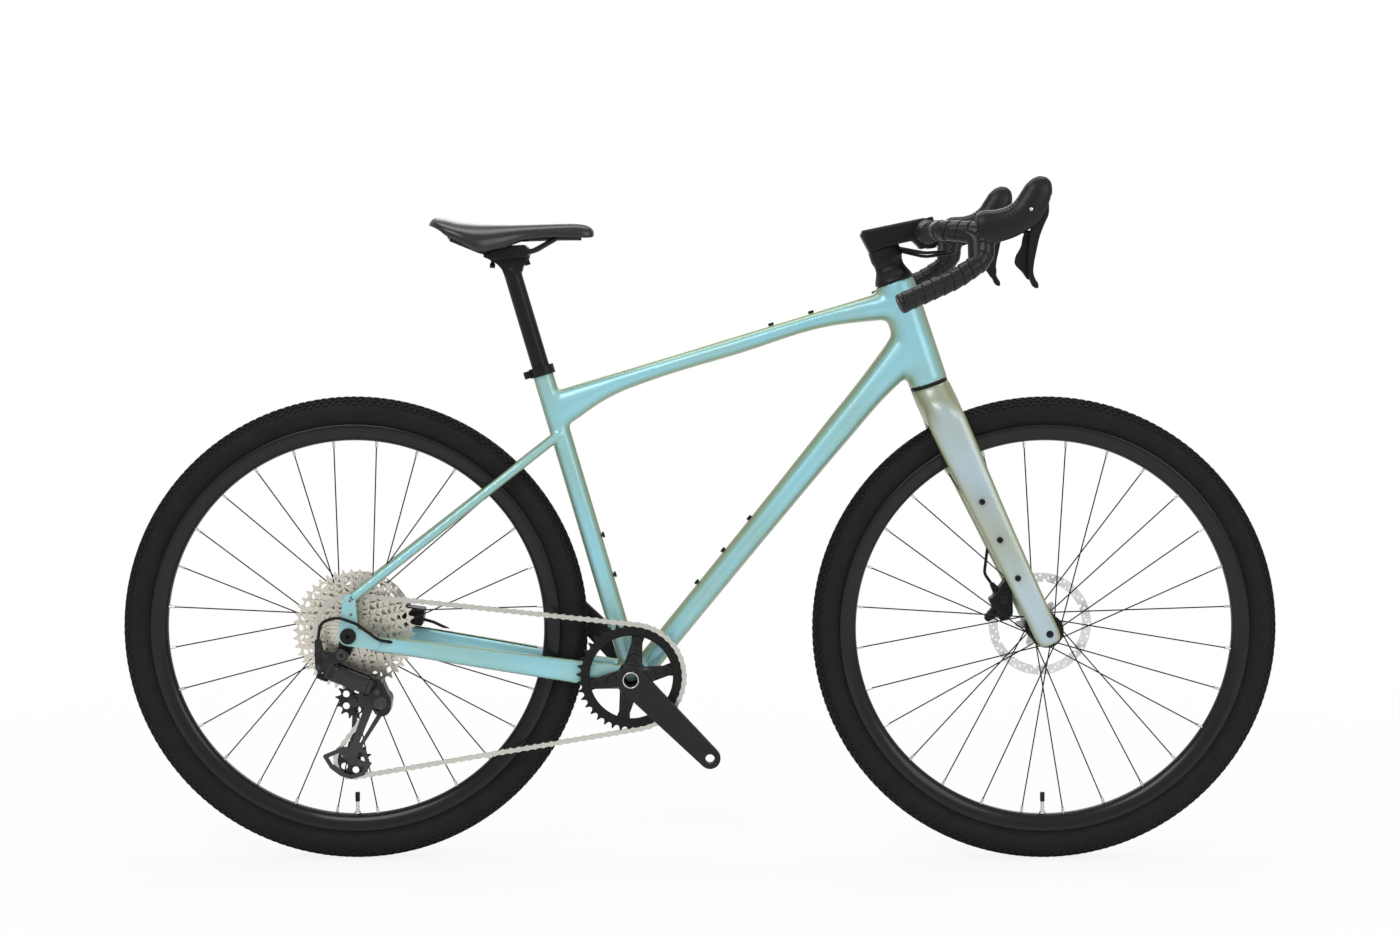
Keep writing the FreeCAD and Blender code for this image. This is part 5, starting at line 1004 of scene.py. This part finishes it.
class TapeOperator(bpy.types.Operator):
    """Wrapped bar tape with its end plugs"""
    bl_idname = "bike.tape"
    bl_label = "Bar tape"

    RADIUS = 14.7
    # extra thickness where the tape starts, and the length in metres over which it runs out
    SWELL = 4.0
    SWELL_RUN = 0.034
    # width of the groove between two turns, as a share of the pitch
    GROOVE = 0.035
    PLUG = [(0, 0), (0, 14.6), (3.2, 14.6), (4.8, 13.6), (5.4, 11.6), (4.6, 10.6), (4.6, 3.2), (3.4, 2.8),
            (3.4, 0)]

    def execute(self, context):
        settings = context.scene.bike_shape
        points = [bar_point(0, 0, -40), bar_point(2, 1, HOOD_SIDE + 28), bar_point(63, -2, HOOD_SIDE + 1),
                  bar_point(66, -40, HOOD_SIDE - 5), bar_point(22, -70, HOOD_SIDE - 12),
                  bar_point(-57, -105, DROP_SIDE)]
        path = bend(points, [38, 22, 32, 160], 0.7)
        shape = Shape()
        shape.skin(self.wrap(path, settings.tape_pitch, settings.tape_step))
        web = [bar_point(18, 0, HOOD_SIDE + 21), bar_point(54, -7, HOOD_SIDE + 3),
               bar_point(54, -48, HOOD_SIDE - 7)]
        shape.skin(sweep(bend(web, [20], 1.5), 13.4, 36))
        out = (path[-1] - path[-2]).normalized()
        shape.turned(path[-1] - out * 2 * MM, out, self.PLUG, 40)
        tape = shape.mirror().build("bar_tape_wrap", 50)
        finish_piece(tape, "steering", "tape_foam", "hood_rubber", "bar_tape")
        return {"FINISHED"}

    def wrap(self, path, pitch, step):
        """Rings of the sleeve, each turn of tape lapping over the one before."""
        rings = []
        travelled = 0.0
        count = 44
        before = path[0]
        for point, first, second in carried_frames(path):
            travelled += (point - before).length
            before = point
            thick = self.RADIUS * MM + self.SWELL * MM * max(0.0, 1 - travelled / self.SWELL_RUN)
            ring = []
            for j in range(count):
                turn = 2 * math.pi * j / count
                phase = (travelled / pitch + j / count) % 1.0
                groove = math.exp(-(min(phase, 1 - phase) / self.GROOVE) ** 2)
                radius = thick + step * (phase - 0.4 - groove * 0.8)
                ring.append(point + (first * math.cos(turn) + second * math.sin(turn)) * radius)
            rings.append(ring)
        return rings


class HoodsOperator(bpy.types.Operator):
    """Rubber hoods of the brake levers"""
    bl_idname = "bike.hoods"
    bl_label = "Lever hoods"

    # place ahead, height, half height, half width and lean in degrees
    STATIONS = [(-6, 0.5, 21.5, 15.8, 5), (-2, 0.8, 24.2, 16.8, 6), (27, 5.5, 24.0, 17.5, 10),
                (49, 14, 23.0, 17.5, 30), (66, 27, 23.5, 17.0, 48), (77, 45, 22.5, 16.5, 62),
                (83.5, 62, 19.0, 14.5, 74), (86.5, 72, 13.0, 10.0, 80), (87.5, 77, 5.0, 4.0, 82)]
    # room for the lever and the paddle: two circles of a plate, and how far it reaches to the left
    SLOTS = [((89, 44), 12.5, (76, 4), 26, 6.6), ((76, 4), 26, (92, 14), 26, 6.6),
             ((70, -8), 13, (44, 6), 13, 14.2), ((44, 6), 13, (32, -14), 13, 14.2)]
    SLOT_RIGHT = 6.6
    SCREW = [(-1.0, 0), (-1.0, 2.6), (0.7, 2.6), (1.1, 2.1), (1.1, 0)]
    VOXEL = 0.0012

    def execute(self, context):
        rings = [oval(hood_point(ahead, above), slope(lean + 90), LEFT, high, wide, 2.4, 48)
                 for ahead, above, high, wide, lean in spread(self.STATIONS, 6)]
        hood = Shape().skin(rings).build("hood_right")
        slot = Shape()
        for first, first_radius, second, second_radius, to_left in self.SLOTS:
            slot.hull(pair(HOOD, *first), first_radius, pair(HOOD, *second), second_radius,
                      HOOD_SIDE - self.SLOT_RIGHT, HOOD_SIDE + to_left)
        carve(hood, weld(slot.build("hood_slot"), self.VOXEL))
        relax(weld(hood, self.VOXEL), 5)
        self.creases(hood.data)
        hoods = Shape()
        hoods.add([v.co for v in hood.data.vertices], [tuple(p.vertices) for p in hood.data.polygons])
        bpy.data.objects.remove(hood)
        grips = hoods.mirror().build("hood_grips")
        finish_piece(grips, "steering", "hood_rubber", "hood_rubber", "lever_hoods")
        screws = Shape().turned(hood_point(69.5, 29.5, 16.4), RIGHT, self.SCREW, 24).mirror()
        finish_piece(screws.build("hood_screws"), "steering", "bright_steel", "black_alloy")
        return {"FINISHED"}

    def creases(self, mesh):
        """Folds behind the horn, where the rubber bends up."""
        pitch, spread_out, depth = 5.2, 9.0, 0.55
        points = read_points(mesh)
        normals = read_normals(mesh)
        reach = (points - np.array(hood_point(40, 34))) @ np.array(slope(38)) / MM
        upper = np.clip(normals[:, 2] * 1.3 + 0.1, 0, 1)
        fold = np.cos(reach * 2 * math.pi / pitch) * np.exp(-(reach / spread_out) ** 2) * upper
        write_points(mesh, points + normals * (fold * depth * MM)[:, None])


class LeversOperator(bpy.types.Operator):
    """Brake levers and shift paddles"""
    bl_idname = "bike.levers"
    bl_label = "Levers"

    # side views from the foot of the hood
    BLADE = [(90.5, 52), (95.5, 47), (97.0, 36), (96.5, 22), (90.5, 8), (84.5, -8), (79.5, -30), (76, -49),
             (75.3, -62), (78.2, -71), (82.5, -78), (81.8, -84.5), (76.5, -83), (70.5, -74), (67.5, -58),
             (66.8, -41), (67.8, -25), (69.5, -8), (72, 9), (77, 26), (83, 42)]
    LUG = [(74, -10), (80, -10), (80, 2), (74, 2)]
    PADDLE = [(71, -1), (72.5, -20), (74.5, -48), (75, -66), (70, -72), (60, -61), (49, -47), (50, -40),
              (58, -24), (63, -6)]

    def execute(self, context):
        for side in ("right", "left"):
            blade = Shape()
            blade.prism(self.outline(self.BLADE), HOOD_SIDE - 4.9, HOOD_SIDE + 4.9)
            blade.prism([pair(HOOD, *corner) for corner in self.LUG], HOOD_SIDE + 3.5, HOOD_SIDE + 12)
            blade.drum(hood_point(61, -4, -9), AHEAD, 0, 14, 1.8, 20)
            lever = self.on_side(blade.melt(f"brake_lever_{side}_form", 0.0008, 7), side)
            finish_piece(lever, side + "_lever", "satin_black", "black_alloy", "brake_lever_" + side)
            plate = Shape()
            plate.prism(self.outline(self.PADDLE), HOOD_SIDE + 6.2, HOOD_SIDE + 9.2)
            plate.drum(hood_point(62, -4, -9), AHEAD, 0, 11.3, 3.6, 24)
            paddle = self.on_side(plate.melt(f"shift_paddle_{side}_form", 0.0008, 3), side)
            finish_piece(paddle, side + "_paddle", "satin_black", "black_plastic", "shift_paddle_" + side)
        return {"FINISHED"}

    def outline(self, corners):
        """Smooth outline through the corners, as side-view pairs."""
        rows = [pair(HOOD, *corner) for corner in corners]
        return spread(rows[-2:] + rows + rows[:2], 6)[12:-12]

    def on_side(self, obj, side):
        """The right piece as it is, or its mirror image for the left."""
        if side == "left":
            write_points(obj.data, read_points(obj.data) * (1, -1, 1))
            obj.data.flip_normals()
        return obj


class CrankOperator(bpy.types.Operator):
    """Forged crank arms with spider, trim ring and spindle"""
    bl_idname = "bike.crank"
    bl_label = "Crank"

    ANGLE = -45.0
    ARM = 170
    PEDAL_HOLE = 7.1
    # directions of the chainring bolts, from the right arm
    BOLTS = (56.0, 125.5, -56.0, -125.5)
    TRIM = [(-12, 9.0), (-12, 12.6), (13.4, 12.6), (14.4, 12.3), (14.9, 11.7), (14.6, 10.9), (13.0, 10.6),
            (-12, 10.6)]
    SPINDLE = [(0, 9.2), (0, 10.6), (12, 10.6), (12, 12), (142, 12), (142, 9.2)]

    def execute(self, context):
        self.arm("crank_arm_right", self.ANGLE, RIGHT, 12.6)
        self.arm("crank_arm_left", self.ANGLE + 180, LEFT, 9)
        trim = Shape().turned(BRACKET + RIGHT * 62 * MM, RIGHT, self.TRIM, 48, closed=True)
        finish_piece(trim.build("crank_trim"), "crank", "bright_steel", "black_alloy")
        spindle = Shape().turned(BRACKET + RIGHT * 70 * MM, LEFT, self.SPINDLE, 48, closed=True)
        finish_piece(spindle.build("crank_spindle"), "crank", "bolt_black", "black_alloy")
        return {"FINISHED"}

    def from_axle(self, angle, reach):
        return pair(BRACKET + slope(angle) * reach * MM)

    def arm(self, name, angle, outward, bore):
        shape = Shape()
        side = outward.y
        centre = pair(BRACKET)
        eye = self.from_axle(angle, self.ARM)
        shape.hull(centre, 22.0, eye, 16.2, side * 75.0, side * 62.5)
        shape.hull(self.from_axle(angle, 100), 15.0, eye, 12.0, side * 75.6, side * 64)
        shape.drum(BRACKET, outward, 47.5, 74.0, 20)
        if side < 0:
            for turn in self.BOLTS:
                shape.hull(centre, 17, self.from_axle(angle + turn, 55), 8.3, -54.0, -47.4)
                shape.hull(centre, 16, self.from_axle(angle + turn, 30), 8.0, -62.0, -47.4)
        arm = shape.melt(name + "_form", 0.0011, 5, 18, 3)
        tool = Shape()
        tool.drum(mm(eye[0], 0, eye[1]), outward, 50, 90, self.PEDAL_HOLE)
        tool.drum(BRACKET, outward, 40, 90, bore)
        carve(arm, tool.build("crank_holes"))
        arm.data.set_sharp_from_angle(angle=math.radians(40))
        finish_piece(arm, "crank", "crank_grey", "black_alloy", name)


class GearOperator(bpy.types.Operator):
    """Rear derailleur: bracket, outer link, knuckle with its clutch, and cage"""
    bl_idname = "bike.gear"
    bl_label = "Rear gear"

    VOXEL = 0.0008
    # guard around the lower pulley, from the middle of that pulley, in millimetres
    GUARD = [(9.6, 22.3), (-17.5, 16.8), (-41, 7), (-31, -9.2), (-16, -20.5), (-0.7, -24.5), (16.3, -19.3),
             (25, -5.8), (19.7, 11.1), (9.6, 22.3)]
    # height and radius of the turned pieces
    BIG_BOLT = [(-10, 0), (-10, 5), (0, 5), (0, 8.2), (3.6, 8.2), (4.6, 7.2), (4.6, 3.4), (1.6, 3.2),
                (1.6, 0)]
    SMALL_BOLT = [(-4, 0), (-4, 4.2), (4.5, 4.2), (5, 3.4), (5, 0)]
    CLUTCH = [(-6, 0), (-6, 10.6), (2.4, 10.6), (3.4, 9.6), (3.4, 8.4), (2.8, 8.0), (2.8, 0)]

    def execute(self, context):
        self.outer_foot, self.outer_end = joint_point("derailleur_shift"), joint_point("knuckle_pivot")
        self.along = (self.outer_end - self.outer_foot).normalized()
        self.square = self.along.cross(LEFT).normalized() * -1
        self.axes = (self.along, LEFT, self.square)
        self.pivot = joint_point("cage_swing")
        self.bracket()
        self.link()
        self.knuckle()
        self.cage()
        return {"FINISHED"}

    def lugs(self, shape, foot, wall):
        """Ends of both link pins, and the wall that joins them, ahead (1) or behind (-1)."""
        near, far = 13.0, 16.4
        for sign in (-1, 1):
            for to_left in (0, 20):
                shape.drum(foot + LEFT * to_left * MM, self.square * sign, near, far, 6.2, 28)
            shape.box(foot, self.axes, (wall * 3, -6, sign * near), (wall * 12.5, 26, sign * far))
        shape.box(foot, self.axes, (wall * 8.6, -6, -far), (wall * 13, 26, far))

    def bracket(self):
        shape = Shape()
        foot = self.outer_foot
        bolt = pair(REAR, -9.5, -28.5)
        arm, wall, elbow = pair(foot, 8, 17), pair(foot, -9, 7), pair(foot, -13, 24)
        shape.hull(bolt, 10.0, arm, 8.5, -91, -80)
        shape.hull(arm, 8.5, wall, 9.5, -91, -78)
        shape.hull(wall, 10, elbow, 6.5, -90, -77)
        shape.hull(elbow, 6.5, pair(REAR, -46, -9), 5.2, -87, -77.5)
        shape.hull(elbow, 7.5, pair(foot, 6, 20), 9, -88, -80)
        self.lugs(shape, foot, -1)
        obj = shape.melt("derailleur_bracket_form", self.VOXEL, 4, 8)
        finish_piece(obj, "frame", "gear_plastic", "black_plastic", "derailleur_bracket")
        bolts = Shape()
        bolts.turned(mm(bolt[0], -89, bolt[1]), RIGHT, self.BIG_BOLT)
        bolts.turned(foot + mm(-14, -2, 5), RIGHT, self.SMALL_BOLT, 24)
        finish_piece(bolts.build("derailleur_bolts"), "frame", "cage_grey", "black_alloy")

    def link(self):
        shape = Shape()
        length = (self.outer_end - self.outer_foot).length / MM
        half = 12.3
        for eye in (self.outer_foot, self.outer_end):
            shape.drum(eye, self.square, -half, half, 5.6, 28)
        shape.box(self.outer_foot, self.axes, (0, -5.6, -half), (length, 5.2, half))
        shape.box(self.outer_foot, self.axes, (6, -8.6, -11.8), (length - 4, 2, 11.8))
        shape.box(self.outer_foot, self.axes, (11, -10.2, -8.6), (length - 9, 2, 8.6))
        obj = shape.melt("derailleur_outer_link_form", self.VOXEL, 7, 8)
        finish_piece(obj, "outer_link", "link_gloss", "black_plastic", "derailleur_outer_link")

    def knuckle(self):
        shape = Shape()
        pivot = self.pivot
        wall = self.outer_end + (self.along * 11 - self.square * 3) * MM
        shape.hull(pair(wall), 11, pair(pivot, -1, 4), 15, -88, -60)
        shape.hull(pair(pivot), 16.6, pair(pivot, 2, -8), 13.5, -86, -60)
        shape.hull(pair(pivot, -4, 16), 7.5, pair(pivot, -12, 10), 6.5, -92, -70)
        self.lugs(shape, self.outer_end, 1)
        obj = shape.melt("derailleur_knuckle_form", self.VOXEL, 5, 8)
        finish_piece(obj, "knuckle", "gear_plastic", "black_plastic", "derailleur_knuckle")
        clutch = Shape().turned(pivot + RIGHT * 27 * MM, RIGHT, self.CLUTCH, 48)
        for ahead, out, above, radius in ((-4, 28, 17, 4.6), (-6, 24, -15, 2.6)):
            stud = [(-4, 0), (-4, radius), (5, radius), (5.6, radius - 0.8), (5.6, 0)]
            clutch.turned(pivot + mm(ahead, -out, above), RIGHT, stud, 28)
        finish_piece(clutch.build("derailleur_clutch"), "knuckle", "cage_grey", "black_plastic")

    def cage(self):
        guide, tension = joint_point("guide_pulley_spin"), joint_point("tension_pulley_spin")
        upper, lower = pair(guide), pair(tension)
        side = guide.y / MM
        outer = (side - 7.2, side - 5.2)
        inner = (side + 5.2, side + 7.0)
        shape = Shape()
        shape.hull(pair(self.pivot), 15, upper, 9, *outer)
        shape.hull(pair(self.pivot, -21, -9), 7, pair(tension, 5, 27), 5.4, *outer)
        shape.hull(pair(self.pivot, -2, -19), 4, pair(tension, 13.5, 24), 2.8, *outer)
        shape.hull(pair(tension, 3, 25), 6, pair(tension, 12, 23), 5, *outer)
        for start, end in zip(self.GUARD, self.GUARD[1:]):
            shape.hull(pair(tension, *start), 3.4, pair(tension, *end), 3.4, *outer)
        for end in ((9.6, 22.3), (-17.5, 16.8), (22, -6)):
            shape.hull(lower, 6.5, pair(tension, *end), 4.0, *outer)
        shape.hull(pair(tension, -4, 17), 6, pair(tension, 6, 21), 5, *outer)
        shape.hull(upper, 10, pair(guide, 0, -16), 4, *inner)
        shape.hull(pair(guide, 0, -10), 4, pair(tension, 0, 10), 4, *inner)
        shape.hull(lower, 12, pair(tension, 0, 12), 5, *inner)
        for centre in (guide, tension):
            shape.drum(centre, LEFT, -8.6, 8, 4, 28)
            shape.drum(centre, LEFT, -9.4, -6, 5.6, 28)
        shape.drum(self.pivot, LEFT, -14, side - 5.2 - self.pivot.y / MM, 5, 28)
        obj = shape.melt("derailleur_cage_form", 0.0006, 2)
        finish_piece(obj, "cage", "cage_grey", "black_plastic", "derailleur_cage")


class BrakeOperator(bpy.types.Operator):
    """Front brake caliper with its hose end, and the end of the front axle"""
    bl_idname = "bike.brake"
    bl_label = "Front brake"

    # both halves of the caliper, as distances from the middle plane
    HALVES = ((26.5, 36.5), (43.5, 53.5))
    # height up the leg, place ahead, radius and distance from the middle plane of each bolt
    BOLTS = [(44, -70, 5.2, 31), (60, -36, 7.0, 25.5), (78, -21, 3.6, 26)]
    AXLE = [(0.9, 0), (0.9, 3.0), (0, 3.4), (0, 5.2), (0.3, 5.5), (136.4, 5.5), (136.4, 0)]
    AXLE_END = 68.2

    def execute(self, context):
        shape = Shape()
        at = self.on_leg
        for half in self.HALVES:
            shape.hull(at(82, -17), 6, at(60, -36), 13.5, *half)
            shape.hull(at(60, -36), 14, at(42, -42), 12.5, *half)
        shape.hull(at(80, -20), 7, at(66, -46), 6, 28, 52)
        shape.hull(at(36, -50), 5, at(66, -52), 5, 28, 52)
        shape.hull(at(48, -54), 8, at(44, -68), 6, 33, 47)
        shape.hull(at(86, -41), 4.2, at(62, -38), 8, 41, 51)
        body = shape.melt("front_caliper_form", 0.001, 4, 10)
        finish_piece(body, "steering", "satin_black", "black_alloy", "front_caliper")
        bolts = Shape()
        for up_leg, ahead, radius, out in self.BOLTS:
            x, z = at(up_leg, ahead)
            head = [(-8, 0), (-8, radius), (1, radius), (1.6, radius - 0.8), (1.6, radius * 0.5),
                    (0.2, radius * 0.45), (0.2, 0)]
            bolts.turned(mm(x, out, z), RIGHT, head, 28)
        finish_piece(bolts.build("caliper_bolts"), "steering", "crank_grey", "black_alloy")
        axle = Shape().turned(FRONT + RIGHT * self.AXLE_END * MM, LEFT, self.AXLE)
        finish_piece(axle.build("front_axle_form"), "steering", "bolt_black", "black_alloy", "front_axle")
        return {"FINISHED"}

    def on_leg(self, up_leg, ahead):
        return pair(FRONT - LEG_DOWN * up_leg * MM + LEG_SQUARE * ahead * MM)


class BikePanel(bpy.types.Panel):
    """Sizes, colours and steps of the bike"""
    bl_idname = "VIEW3D_PT_bike"
    bl_label = "Gravel bike"
    bl_space_type = "VIEW_3D"
    bl_region_type = "UI"
    bl_category = "Bike"

    def draw(self, context):
        for group in GROUPS:
            box = self.layout.box()
            settings = getattr(context.scene, group)
            for name in settings.bl_rna.properties.keys():
                if name not in {"rna_type", "name"}:
                    box.prop(settings, name)
        for step in STEPS:
            self.layout.operator(step.bl_idname)


STEPS = [StageOperator, FinishesOperator, FrameOperator, ForkOperator, TyresOperator, SaddleOperator,
         TapeOperator, HoodsOperator, LeversOperator, CrankOperator, GearOperator, BrakeOperator]
GROUPS = {"bike_paint": PaintSettings, "bike_shape": ShapeSettings, "bike_stage": StageSettings}


def register():
    for kind in list(GROUPS.values()) + STEPS + [BikePanel]:
        bpy.utils.register_class(kind)
    for name, kind in GROUPS.items():
        setattr(bpy.types.Scene, name, PointerProperty(type=kind))


def unregister():
    for name in GROUPS:
        delattr(bpy.types.Scene, name)
    for kind in [BikePanel] + STEPS + list(GROUPS.values()):
        bpy.utils.unregister_class(kind)


def main():
    register()
    for step in STEPS:
        area, action = step.bl_idname.split(".")
        getattr(getattr(bpy.ops, area), action)()


if __name__ == "__main__":
    main()
